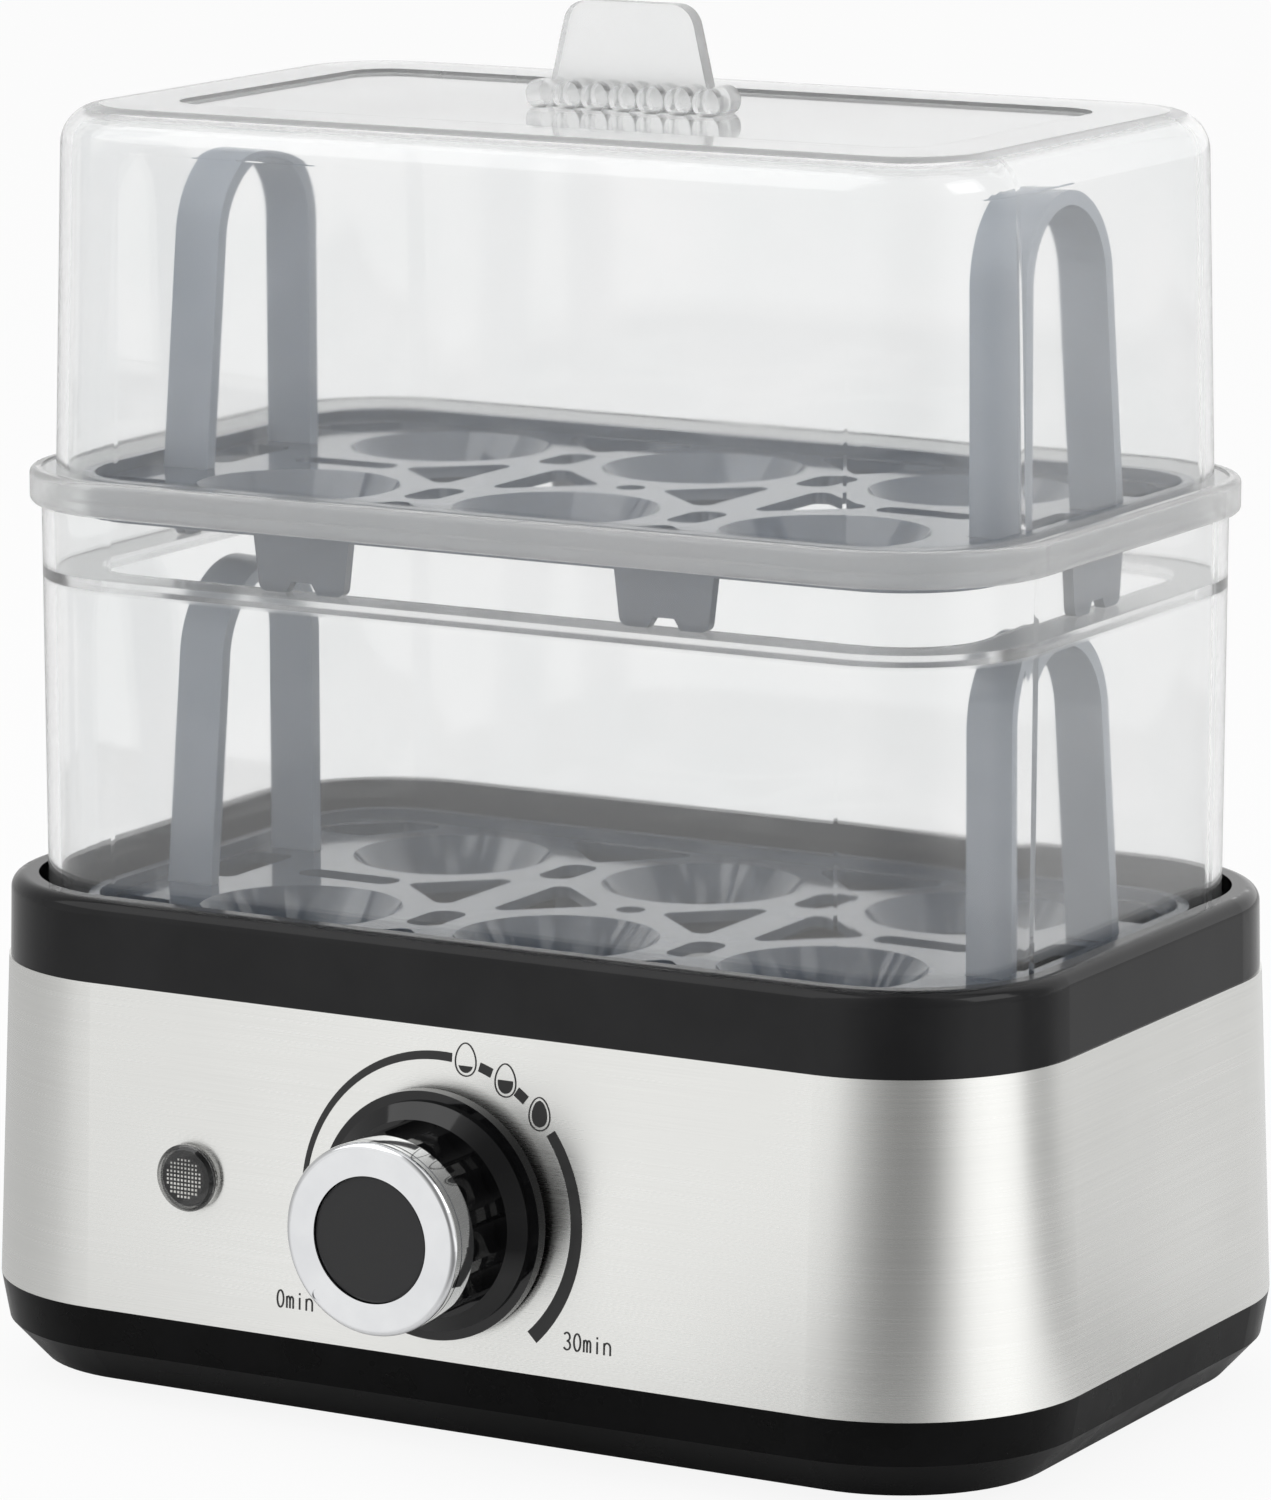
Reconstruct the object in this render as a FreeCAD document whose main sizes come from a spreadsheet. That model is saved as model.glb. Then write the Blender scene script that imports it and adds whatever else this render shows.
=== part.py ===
"""Two-tier egg cooker: steel-banded base with a timer, clear steam tier, two egg racks and a clear lid.

The origin is on the table under the middle of the whole object's box, +Z is up and the dial looks to -Y.
Every driving size is a cell of the Sizes sheet. Places that follow from them are formulas in the Levels
sheet.
"""
import FreeCAD, Part
import math
import os
import re

import Sketcher
from FreeCAD import Placement, Rotation, Vector

# Driving sizes, in millimetres and degrees; counts are whole numbers
SIZES = {
    # Plan of the base: a rounded rectangle that every other outline is offset from
    "base_width": 210.0,
    "base_depth": 135.2,
    "corner_radius": 34.0,
    # Play between pieces
    "seat_gap": 0.1,
    "lip_gap": 0.3,
    "face_gap": 0.45,
    "running_fit": 0.05,
    "push_fit": 0.03,
    "wire_play": 0.05,
    # Rubber feet
    "foot_height": 2.5,
    "foot_radius": 6.0,
    "foot_stem_radius": 2.6,
    "foot_bulb_radius": 3.6,
    "foot_bulb_height": 2.0,
    "foot_margin": 32.0,
    # Base pan
    "pan_chamfer_height": 6.7,
    "pan_chamfer_inset": 6.2,
    "pan_wall_height": 7.9,
    "pan_draft": 1.4,
    "pan_skin": 2.4,
    "lip_height": 3.0,
    "lip_width": 1.2,
    # Posts and screws that hold the base together
    "screw_reach": 20.0,
    "post_radius": 5.2,
    "post_drop": 2.0,
    "boss_radius": 4.2,
    "screw_radius": 2.0,
    "screw_head_radius": 3.4,
    "screw_head_height": 2.4,
    "screw_recess_depth": 4.0,
    "screw_play": 0.2,
    "screw_bite": 10.0,
    # Steel band
    "band_height": 57.5,
    "band_draft": 2.2,
    "band_gauge": 0.6,
    # Top ring with the well for the tier
    "ring_height": 14.4,
    "ring_inset": 0.3,
    "ring_draft": 0.3,
    "ring_edge_radius": 2.6,
    "ring_skin": 2.2,
    "land_width": 4.8,
    "well_depth": 13.0,
    "tier_shelf": 4.4,
    "plate_shelf": 6.0,
    # Heating plate and its gasket
    "plate_drop": 7.2,
    "plate_gauge": 0.8,
    "plate_play": 1.5,
    "flange_width": 7.5,
    "dish_depth": 9.0,
    "dish_draft": 3.0,
    "gasket_thickness": 1.5,
    "gasket_width": 3.0,
    # Heating element, its clamp, and what the clamp holds
    "element_radius": 3.25,
    "element_run": 70.0,
    "element_bend": 22.0,
    "pin_radius": 1.5,
    "pin_length": 12.0,
    "stud_radius": 2.0,
    "stud_spacing": 22.0,
    "clamp_gauge": 1.5,
    "clamp_width": 14.0,
    "clamp_length": 62.0,
    "clamp_arm": 84.0,
    "nut_radius": 4.0,
    "nut_height": 3.2,
    "thermostat_radius": 8.0,
    "thermostat_place": 24.0,
    "thermostat_tab_length": 9.0,
    "fuse_place": 24.0,
    "fuse_length": 24.0,
    "fuse_lead_radius": 0.6,
    "fuse_lead_length": 6.0,
    "tab_width": 5.0,
    "tab_gauge": 0.8,
    # Timer
    "knob_rise": 25.8,
    "timer_width": 46.0,
    "timer_height": 30.0,
    "timer_depth": 24.0,
    "timer_skin": 1.4,
    "timer_plate_gauge": 1.2,
    "timer_stand_off": 0.2,
    "timer_screw_place": 16.0,
    "timer_screw_radius": 1.45,
    "timer_screw_head_radius": 2.8,
    "timer_screw_head_height": 0.9,
    "timer_screw_length": 5.0,
    "shaft_radius": 3.0,
    "shaft_flat": 2.3,
    "gear_module": 0.6,
    "gear_teeth": 40,
    "pinion_teeth": 10,
    "gear_width": 2.4,
    "gear_setback": 2.2,
    "arbor_angle": 217.0,
    "arbor_radius": 1.0,
    "arbor_disc_radius": 4.0,
    "cam_radius": 9.0,
    "cam_width": 3.0,
    "cam_notch_radius": 2.2,
    "spring_radius": 10.5,
    "spring_width": 5.0,
    "bell_radius": 13.0,
    "bell_depth": 6.0,
    "bell_gauge": 0.8,
    "bell_post_radius": 2.0,
    "terminal_length": 8.0,
    "terminal_spacing": 12.0,
    # Knob
    "knob_gap": 1.2,
    "skirt_radius": 21.6,
    "skirt_edge": 2.2,
    "skirt_step_radius": 19.9,
    "skirt_step": 0.8,
    "dish_radius": 17.2,
    "skirt_rise": 2.2,
    "grip_radius": 16.4,
    "grip_length": 10.0,
    "flute_count": 12,
    "flute_radius": 4.4,
    "flute_depth": 1.7,
    "knob_hollow_radius": 19.4,
    "knob_hollow_depth": 2.0,
    "knob_hub_radius": 6.0,
    "knob_bore_depth": 13.0,
    "ring_radius": 16.65,
    "ring_length": 6.2,
    "ring_round": 1.2,
    "ring_groove": 0.3,
    "ring_groove_place": 2.4,
    "cap_radius": 10.8,
    "cap_play": 0.15,
    "cap_sink": 0.4,
    "mark_radius": 1.0,
    "mark_depth": 0.3,
    "mark_place": 14.9,
    "dial_sweep": 272.0,
    # Indicator lamp
    "lamp_place": 50.0,
    "lens_radius": 5.9,
    "lens_flange": 1.7,
    "lens_bevel": 0.7,
    "barrel_radius": 4.9,
    "barrel_bore": 3.6,
    "barrel_length": 9.0,
    "plug_length": 5.5,
    "plug_depth": 1.5,
    "bulb_radius": 2.3,
    "bulb_length": 6.4,
    "washer_radius": 7.5,
    "washer_gauge": 0.8,
    # Cord inlet at the rear
    "gland_place": 60.0,
    "gland_rise": 15.0,
    "gland_bore": 3.5,
    "gland_neck": 5.4,
    "gland_flange_radius": 8.0,
    "gland_flange": 2.5,
    "gland_reach": 5.0,
    "gland_nut_radius": 8.5,
    "gland_nut_height": 2.8,
    # Terminal block and wires
    "block_length": 26.0,
    "block_width": 14.0,
    "block_height": 12.0,
    "block_place_x": 46.0,
    "block_place_y": 38.0,
    "block_hole_radius": 2.0,
    "wire_radius": 1.2,
    "lead_out": 12.0,
    "lead_rise": 8.0,
    "lead_swing": 20.0,
    "lamp_wire_radius": 0.7,
    # Steam tier
    "well_gap": 1.8,
    "tier_height": 85.2,
    "tier_flare": 0.4,
    "tier_wall": 2.2,
    "rim_step": 2.0,
    "rim_wall": 2.0,
    "rim_height": 6.2,
    "rim_depth": 5.9,
    "rim_round": 1.2,
    "ledge_level": 67.7,
    "ledge_thickness": 2.0,
    "ledge_offset": -19.5,
    # Egg racks
    "rack_offset": -16.3,
    "rack_wall": 2.0,
    "rack_stand": 14.2,
    "rim_rise": 2.2,
    "deck_thickness": 2.0,
    "skirt_depth": 4.8,
    "seat_radius": 18.0,
    "seat_pitch_x": 52.0,
    "seat_pitch_y": 52.0,
    "cup_depth": 6.4,
    "cup_mouth": 13.2,
    "cup_wall": 1.5,
    "web_width": 8.6,
    "web_triangle_length": 28.0,
    "web_triangle_reach": 20.0,
    "web_round": 2.0,
    "web_slot_width": 7.0,
    "web_slot_length": 13.0,
    "web_slot_place": 23.0,
    "end_slot_length": 20.0,
    "end_slot_width": 6.0,
    "end_slot_place": 58.0,
    "edge_void_width": 30.0,
    "edge_void_depth": 15.5,
    "edge_void_margin": 1.6,
    "corner_void_depth": 15.0,
    "corner_void_near": 10.0,
    "corner_void_far": 20.0,
    "end_void_width": 9.0,
    "end_void_length": 22.0,
    "centre_hole_radius": 2.6,
    "foot_place": 35.5,
    "foot_top_width": 19.3,
    "foot_bottom_width": 16.8,
    "foot_notch_width": 6.3,
    "foot_notch_depth": 1.9,
    "foot_notch_taper": 1.2,
    "foot_round": 1.6,
    # Rack handles
    "handle_place": 80.0,
    "handle_span": 35.0,
    "handle_rise": 56.5,
    "handle_bend": 16.2,
    "handle_width": 9.0,
    "handle_gauge": 2.5,
    "handle_lean": 2.0,
    "handle_tail": 3.4,
    "slot_play": 0.3,
    "slot_round": 0.45,
    # Lid
    "lid_height": 69.0,
    "lid_inset": 2.5,
    "lid_draft": 1.8,
    "lid_wall": 2.0,
    "lid_edge_radius": 7.0,
    "lid_flange_gap": 0.4,
    "lid_flange": 1.8,
    "panel_width": 148.0,
    "panel_depth": 70.0,
    "panel_radius": 8.0,
    "panel_sink": 0.7,
    "tab_height": 18.0,
    "tab_base_width": 33.0,
    "tab_top_width": 24.0,
    "tab_thickness": 3.2,
    "tab_round": 4.5,
    "bead_count": 7,
    "bead_pitch": 5.5,
    "bead_radius": 2.6,
    "bead_length": 8.0,
    "bead_rise": 1.6,
}

# Places that follow from the sizes: heights above the table, outlines as offsets of the base's outline
LEVELS = {
    "pan_bottom": "foot_height",
    "pan_floor": "pan_bottom + pan_skin",
    "pan_step": "pan_bottom + pan_chamfer_height",
    "pan_top": "pan_step + pan_wall_height",
    "lip_offset": "-band_gauge - lip_gap - band_draft * lip_height / band_height",
    "screw_x": "base_width / 2 - corner_radius + screw_reach * sqrt(0.5)",
    "screw_y": "base_depth / 2 - corner_radius + screw_reach * sqrt(0.5)",
    "post_level": "pan_top - post_drop",
    "foot_x": "base_width / 2 - foot_margin",
    "foot_y": "base_depth / 2 - foot_margin",
    "band_top": "pan_top + band_height",
    "ring_low": "-band_draft - ring_inset",
    "ring_high": "ring_low - ring_draft",
    "ring_top": "band_top + ring_height",
    "skirt_offset": "-band_draft - band_gauge - lip_gap",
    "well_offset": "ring_high - land_width",
    "well_floor": "ring_top - well_depth",
    "throat_offset": "well_offset - tier_shelf",
    "plate_top": "well_floor - plate_drop",
    "seat_level": "plate_top - plate_gauge - gasket_thickness",
    "ring_bottom": "seat_level - ring_skin",
    "flange_offset": "throat_offset - plate_play",
    "dish_offset": "flange_offset - flange_width",
    "plate_bottom": "plate_top - dish_depth - plate_gauge",
    "element_level": "plate_bottom - seat_gap - element_radius",
    "clamp_top": "element_level - element_radius - seat_gap",
    "clamp_bottom": "clamp_top - clamp_gauge",
    "knob_level": "pan_top + knob_rise",
    "knob_face": "base_depth / 2 - band_draft * knob_rise / band_height",
    "timer_front": "base_depth / 2 - band_gauge - timer_stand_off"
                   " - band_draft * (knob_rise + timer_height / 2) / band_height",
    "timer_back": "timer_front - timer_plate_gauge",
    "timer_rear": "timer_back - timer_depth",
    "gear_pitch_radius": "gear_module * gear_teeth / 2",
    "pinion_pitch_radius": "gear_module * pinion_teeth / 2",
    "arbor_reach": "gear_pitch_radius + pinion_pitch_radius",
    "arbor_x": "arbor_reach * cos(arbor_angle * 1deg)",
    "arbor_z": "knob_level + arbor_reach * sin(arbor_angle * 1deg)",
    "gear_back": "timer_back - gear_setback - gear_width",
    "cam_back": "gear_back - gear_setback - cam_width",
    "spring_back": "timer_rear + timer_skin",
    "shaft_tip": "knob_face + knob_gap + knob_bore_depth - seat_gap",
    "grip_back": "knob_gap + skirt_edge + skirt_step + skirt_rise",
    "grip_front": "grip_back + grip_length",
    "gland_level": "pan_top + gland_rise",
    "gland_face": "base_depth / 2 - band_draft * gland_rise / band_height",
    "tier_bottom": "well_floor + seat_gap",
    "tier_low": "well_offset - well_gap",
    "tier_high": "tier_low + tier_flare",
    "rim_offset": "tier_high + rim_step",
    "ledge_top": "tier_bottom + ledge_level",
    "lower_deck": "plate_top + seat_gap + rack_stand",
    "upper_deck": "ledge_top + seat_gap + rack_stand",
    "rack_half_width": "base_width / 2 + rack_offset",
    "rack_half_depth": "base_depth / 2 + rack_offset",
    "lid_bottom": "tier_bottom + tier_height - rim_depth + seat_gap",
    "lid_low": "tier_high - lid_inset",
    "lid_high": "lid_low - lid_draft",
    "lid_flange_offset": "rim_offset - rim_wall - lid_flange_gap",
    "front_reach": "knob_face + grip_front + ring_length",
    "rear_reach": "gland_face + face_gap + gland_flange",
    "frame_shift": "(front_reach - rear_reach) / 2",
}

# Directions in which a piece's own Z axis can look
FRONT = Rotation(Vector(1, 0, 0), 90)
REAR = Rotation(Vector(1, 0, 0), -90)
RIGHT = Rotation(Vector(0, 1, 0), 90)
UP = Rotation()

# Drawing rules: a wire's bends take up this share of the shorter run beside them
BEND_SHARE = 0.45
# Shares of a tooth's pitch and module that make a slim, free-running tooth
TOOTH_TIP = 0.16
TOOTH_ROOT = 0.48
TOOTH_RISE = 0.8
TOOTH_FALL = 1.1

DOC = FreeCAD.newDocument("egg_cooker")
SHEET = DOC.addObject("Spreadsheet::Sheet", "Sizes")
LEVEL_SHEET = DOC.addObject("Spreadsheet::Sheet", "Levels")
NODES = []


def full(text, own=""):
    """Turns the plain names in a formula into references to the two sheets, bare for the sheet named own."""
    def reference(match):
        word = match.group()
        for sheet, names in (("Sizes", SIZES), ("Levels", LEVELS)):
            if word in names:
                return word if sheet == own else sheet + "." + word
        return word
    return re.sub(r"[a-z]\w*", reference, str(text))


def number(text):
    """Works a formula out to a plain number."""
    return float(SHEET.evalExpression(full(text)))


def fill_sheets():
    """Writes the driving sizes and the formulas into their sheets."""
    for row, (name, value) in enumerate(SIZES.items(), 1):
        SHEET.set("A%d" % row, name)
        SHEET.set("B%d" % row, str(value))
        SHEET.setAlias("B%d" % row, name)
    DOC.recompute()
    for row, (name, text) in enumerate(LEVELS.items(), 1):
        LEVEL_SHEET.set("A%d" % row, name)
        LEVEL_SHEET.setAlias("B%d" % row, name)
        LEVEL_SHEET.set("B%d" % row, "=" + full(text, "Levels"))
    DOC.recompute()


def bind(item, **formulas):
    """Ties properties of an object to formulas."""
    for name, text in formulas.items():
        item.setExpression(name, full(text))
    return item


def place(item, x="0", y="0", z="0", turn=UP):
    """Turns an object and ties its place to formulas, from the base's middle, behind the origin."""
    return place_within(item, x, "frame_shift + " + y, z, turn)


def place_within(item, x, y, z, turn=UP):
    """Turns an object and ties its place to formulas, in its own body or in the row's frame."""
    item.Placement = Placement(Vector(), turn)
    for axis, text in zip("xyz", (x, y, z)):
        item.setExpression("Placement.Base." + axis, full(text))
    return item


def node(item):
    """Keeps an object as one of the pieces that are written out."""
    NODES.append(item)
    return item


# Sketches and features of a body


def new_body(name, x="0", y="0", z="0", turn=UP):
    """Adds an empty body, placed by formulas."""
    return node(place(DOC.addObject("PartDesign::Body", name), x, y, z, turn))


def new_sketch(body, name, plane="XY_Plane", level="0"):
    """Adds an empty sketch on one of a body's own planes, moved along the plane's normal."""
    sketch = body.newObject("Sketcher::SketchObject", name)
    support = [item for item in body.Origin.OriginFeatures if item.Role == plane][0]
    sketch.AttachmentSupport = [(support, "")]
    sketch.MapMode = "FlatFace"
    sketch.setExpression("AttachmentOffset.Base.z", full(level))
    return sketch


def fix(sketch, kind, *target, size):
    """Adds one dimension to a sketch and ties it to a formula."""
    index = sketch.addConstraint(Sketcher.Constraint(kind, *target, number(size)))
    sketch.setExpression("Constraints[%d]" % index, full(size))


def add_circle(sketch, x, y, radius):
    """Draws a circle."""
    circle = Part.Circle(Vector(number(x), number(y), 0), Vector(0, 0, 1), number(radius))
    index = sketch.addGeometry(circle, False)
    fix(sketch, "Radius", index, size=radius)
    fix(sketch, "DistanceX", -1, 1, index, 3, size=x)
    fix(sketch, "DistanceY", -1, 1, index, 3, size=y)


def add_polygon(sketch, points):
    """Draws a closed polygon through points given as pairs of formulas."""
    first = sketch.GeometryCount
    count = len(points)
    corners = [Vector(number(x), number(y), 0) for x, y in points]
    for start, end in zip(corners, corners[1:] + corners[:1]):
        sketch.addGeometry(Part.LineSegment(start, end), False)
    sketch.addConstraint([
        Sketcher.Constraint("Coincident", first + k, 2, first + (k + 1) % count, 1) for k in range(count)
    ])
    for k, (x, y) in enumerate(points):
        fix(sketch, "DistanceX", -1, 1, first + k, 1, size=x)
        fix(sketch, "DistanceY", -1, 1, first + k, 1, size=y)


def add_rounded(sketch, width, depth, radius, x="0", y="0"):
    """Draws a rectangle with rounded corners about a point: arcs and sides in turn, from the +X +Y corner."""
    first = sketch.GeometryCount
    half_width, half_depth, round_ = number(width) / 2, number(depth) / 2, number(radius)
    reach_x, reach_y = half_width - round_, half_depth - round_
    centre = Vector(number(x), number(y), 0)
    arcs = []
    for quarter, (side_x, side_y) in enumerate(((1, 1), (-1, 1), (-1, -1), (1, -1))):
        circle = Part.Circle(centre + Vector(side_x * reach_x, side_y * reach_y, 0), Vector(0, 0, 1), round_)
        arcs.append(Part.ArcOfCircle(circle, quarter * math.pi / 2, (quarter + 1) * math.pi / 2))
    for arc, after in zip(arcs, arcs[1:] + arcs[:1]):
        sketch.addGeometry(arc, False)
        sketch.addGeometry(Part.LineSegment(arc.EndPoint, after.StartPoint), False)
    rules = []
    for k in range(4):
        arc, side, after = first + 2 * k, first + 2 * k + 1, first + (2 * k + 2) % 8
        rules.append(Sketcher.Constraint("Tangent", arc, 2, side, 1))
        rules.append(Sketcher.Constraint("Tangent", side, 2, after, 1))
        rules.append(Sketcher.Constraint("Vertical" if k % 2 else "Horizontal", side))
        if k:
            rules.append(Sketcher.Constraint("Equal", first, arc))
    sketch.addConstraint(rules)
    fix(sketch, "Radius", first, size=radius)
    fix(sketch, "DistanceX", first + 3, 1, first + 7, 1, size=width)
    fix(sketch, "DistanceY", first + 5, 1, first + 1, 1, size=depth)
    fix(sketch, "DistanceX", -1, 1, first, 3, size="%s + (%s) / 2 - (%s)" % (x, width, radius))
    fix(sketch, "DistanceY", -1, 1, first, 3, size="%s + (%s) / 2 - (%s)" % (y, depth, radius))


def add_outline(sketch, offset):
    """Draws the base's outline, offset outwards."""
    add_rounded(sketch, "base_width + 2 * (%s)" % offset, "base_depth + 2 * (%s)" % offset,
                "corner_radius + (%s)" % offset)


def outline(body, name, level, *offsets):
    """Adds a level sketch of one or two offsets of the base's outline."""
    sketch = new_sketch(body, name, level=level)
    for offset in offsets:
        add_outline(sketch, offset)
    return sketch


def pad(body, name, sketch, length, down=False):
    """Adds the prism on a sketch, along its normal or against it."""
    item = body.newObject("PartDesign::Pad", name)
    item.Profile = sketch
    item.Reversed = down
    item.Refine = False
    return bind(item, Length=length)


def pocket(body, name, sketch, length, forward=False):
    """Cuts the prism on a sketch, against its normal or along it."""
    item = body.newObject("PartDesign::Pocket", name)
    item.Profile = sketch
    item.Reversed = forward
    item.Refine = False
    return bind(item, Length=length)


def loft(body, name, sections, cut=False):
    """Adds or cuts the straight-sided solid between level sketches."""
    item = body.newObject("PartDesign::SubtractiveLoft" if cut else "PartDesign::AdditiveLoft", name)
    item.Profile = sections[0]
    item.Sections = sections[1:]
    item.Ruled = True
    return item


def revolve(body, name, points):
    """Turns a profile of radius and height formulas about the body's Z axis."""
    sketch = new_sketch(body, name + "_profile", "XZ_Plane")
    add_polygon(sketch, points)
    item = body.newObject("PartDesign::Revolution", name)
    item.Profile = sketch
    item.ReferenceAxis = (sketch, ["V_Axis"])
    item.Angle = 360
    return item


def polar(body, name, feature, sketch, count):
    """Repeats a feature evenly about the body's Z axis."""
    item = body.newObject("PartDesign::PolarPattern", name)
    item.Originals = [feature]
    item.Axis = (sketch, ["N_Axis"])
    item.Angle = 360
    bind(item, Occurrences=count)
    body.Tip = item
    return item


def fillet(body, name, radius, chosen):
    """Rounds the edges of a body that a test picks out."""
    DOC.recompute()
    base = body.Tip
    edges = ["Edge%d" % index for index, edge in enumerate(base.Shape.Edges, 1) if chosen(edge)]
    item = body.newObject("PartDesign::Fillet", name)
    item.Base = (base, edges)
    return bind(item, Radius=radius)


def near(value, text):
    """Says whether a number is what a formula gives."""
    return abs(value - number(text)) < 1e-4


def lies_at(edge, level):
    """Says whether an edge lies flat at a height."""
    return near(edge.BoundBox.ZMin, level) and near(edge.BoundBox.ZMax, level)


def corners(x, y):
    """Gives the four mirror images of a point, as pairs of formulas."""
    return [("%d * (%s)" % (a, x), "%d * (%s)" % (b, y)) for a in (1, -1) for b in (1, -1)]


# Plain solids and what is made of them


def box(name, size, x, y, z):
    """Adds a block centred on x and y that stands on z."""
    item = bind(DOC.addObject("Part::Box", name), Length=size[0], Width=size[1], Height=size[2])
    return place(item, "%s - (%s) / 2" % (x, size[0]), "%s - (%s) / 2" % (y, size[1]), z)


def cylinder(name, radius, length, x="0", y="0", z="0", turn=UP):
    """Adds a round bar that starts at a point."""
    item = bind(DOC.addObject("Part::Cylinder", name), Radius=radius, Height=length)
    return place(item, x, y, z, turn)


def cut(name, base, *tools):
    """Takes tools away from a solid."""
    item = DOC.addObject("Part::Cut", name)
    item.Base = base
    item.Tool = tools[0] if len(tools) == 1 else fuse(name + "_tools", *tools)
    return item


def fuse(name, *pieces):
    """Joins solids into one."""
    item = DOC.addObject("Part::MultiFuse", name)
    item.Shapes = list(pieces)
    return item


def group(name, pieces):
    """Gathers separate solids that share a node."""
    item = DOC.addObject("Part::Compound", name)
    item.Links = list(pieces)
    return item


# Base: pan, feet, band, ring and screws


def build_pan():
    """The black underside: a chamfered tray with a lip for the band and posts for the screws."""
    body = new_body("base_pan")
    loft(body, "pan_shell", [
        outline(body, "pan_low", "pan_bottom", "-pan_draft - pan_chamfer_inset"),
        outline(body, "pan_mid", "pan_step", "-pan_draft"),
        outline(body, "pan_high", "pan_top", "0"),
    ])
    pad(body, "pan_lip", outline(body, "pan_lip_plan", "pan_top", "lip_offset"), "lip_height")
    loft(body, "pan_hollow", [
        outline(body, "hollow_low", "pan_floor", "-pan_draft - pan_chamfer_inset - pan_skin / 4"),
        outline(body, "hollow_mid", "pan_step", "-pan_draft - pan_skin"),
        outline(body, "hollow_high", "pan_top + lip_height", "lip_offset - lip_width"),
    ], cut=True)
    posts = new_sketch(body, "post_plan", level="pan_floor")
    holes = new_sketch(body, "post_hole_plan", level="post_level")
    recesses = new_sketch(body, "recess_plan", level="pan_bottom")
    for x, y in corners("screw_x", "screw_y"):
        add_circle(posts, x, y, "post_radius")
        add_circle(holes, x, y, "screw_radius + screw_play")
        add_circle(recesses, x, y, "screw_head_radius + screw_play")
    pad(body, "posts", posts, "post_level - pan_floor")
    pocket(body, "post_holes", holes, "post_level - pan_bottom")
    pocket(body, "recesses", recesses, "screw_recess_depth", forward=True)
    stems = new_sketch(body, "stem_hole_plan", level="pan_floor")
    for x, y in corners("foot_x", "foot_y"):
        add_circle(stems, x, y, "foot_stem_radius + push_fit")
    pocket(body, "stem_holes", stems, "pan_skin")


def build_feet():
    """Four rubber feet, each with a stem through the pan and a bulb that holds it there."""
    feet = []
    for index, (x, y) in enumerate(corners("foot_x", "foot_y"), 1):
        name = "foot_%d" % index
        pad_ = cylinder(name + "_pad", "foot_radius", "foot_height", x, y)
        stem = cylinder(name + "_stem", "foot_stem_radius", "pan_floor", x, y)
        bulb = cylinder(name + "_bulb", "foot_bulb_radius", "foot_bulb_height", x, y, "pan_floor")
        feet.append(fuse(name, pad_, stem, bulb))
    node(group("rubber_feet", feet))


def build_band():
    """The brushed steel sheet round the base, with holes for the timer, the lamp and the cord inlet."""
    body = new_body("steel_band")
    loft(body, "band_sheet", [
        outline(body, "band_low", "pan_top", "0"),
        outline(body, "band_high", "band_top", "-band_draft"),
    ])
    loft(body, "band_hollow", [
        outline(body, "band_low_inside", "pan_top", "-band_gauge"),
        outline(body, "band_high_inside", "band_top", "-band_draft - band_gauge"),
    ], cut=True)
    front = new_sketch(body, "front_holes_plan", "XZ_Plane")
    add_circle(front, "0", "knob_level", "shaft_radius + 2 * screw_play")
    for side in (1, -1):
        add_circle(front, "%d * timer_screw_place" % side, "knob_level", "timer_screw_radius + screw_play")
    add_circle(front, "-lamp_place", "knob_level", "barrel_radius + screw_play")
    pocket(body, "front_holes", front, "base_depth", forward=True)
    rear = new_sketch(body, "rear_hole_plan", "XZ_Plane")
    add_circle(rear, "gland_place", "gland_level", "gland_neck + screw_play")
    pocket(body, "rear_hole", rear, "base_depth")


def build_ring():
    """The black collar: land, well for the tier, seat for the heating plate, and bosses for the screws."""
    body = new_body("top_ring")
    loft(body, "collar", [
        outline(body, "collar_low", "band_top", "ring_low"),
        outline(body, "collar_high", "ring_top", "ring_high"),
    ])
    fillet(body, "collar_edge", "ring_edge_radius", lambda edge: lies_at(edge, "ring_top"))
    skirt = outline(body, "skirt_plan", "ring_bottom", "skirt_offset")
    pad(body, "ring_skirt", skirt, "band_top - ring_bottom")
    pocket(body, "well", outline(body, "well_plan", "ring_top", "well_offset"), "well_depth")
    throat = outline(body, "throat_plan", "well_floor", "throat_offset")
    pocket(body, "throat", throat, "well_floor - seat_level")
    opening = outline(body, "opening_plan", "seat_level", "throat_offset - plate_shelf")
    pocket(body, "opening", opening, "ring_skin")
    groove = outline(body, "groove_plan", "ring_bottom", "skirt_offset - ring_skin",
                     "throat_offset + ring_skin")
    pocket(body, "groove", groove, "well_floor - ring_skin - ring_bottom", forward=True)
    bosses = new_sketch(body, "boss_plan", level="ring_bottom")
    pilots = new_sketch(body, "pilot_plan", level="post_level + seat_gap")
    for x, y in corners("screw_x", "screw_y"):
        add_circle(bosses, x, y, "boss_radius")
        add_circle(pilots, x, y, "screw_radius + push_fit")
    pad(body, "bosses", bosses, "ring_bottom - post_level - seat_gap", down=True)
    pocket(body, "pilots", pilots, "screw_bite + screw_play", forward=True)


def build_base_screws():
    """Four screws from under the pan into the ring's bosses."""
    screws = []
    head_level = "pan_bottom + screw_recess_depth - screw_head_height"
    for index, (x, y) in enumerate(corners("screw_x", "screw_y"), 1):
        name = "screw_%d" % index
        head = cylinder(name + "_head", "screw_head_radius", "screw_head_height", x, y, head_level)
        length = "post_level + seat_gap + screw_bite - (%s)" % head_level
        shank = cylinder(name + "_shank", "screw_radius", length, x, y, head_level)
        screws.append(fuse(name, head, shank))
    node(group("base_screws", screws))


# Heating plate and what hangs under it


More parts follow.
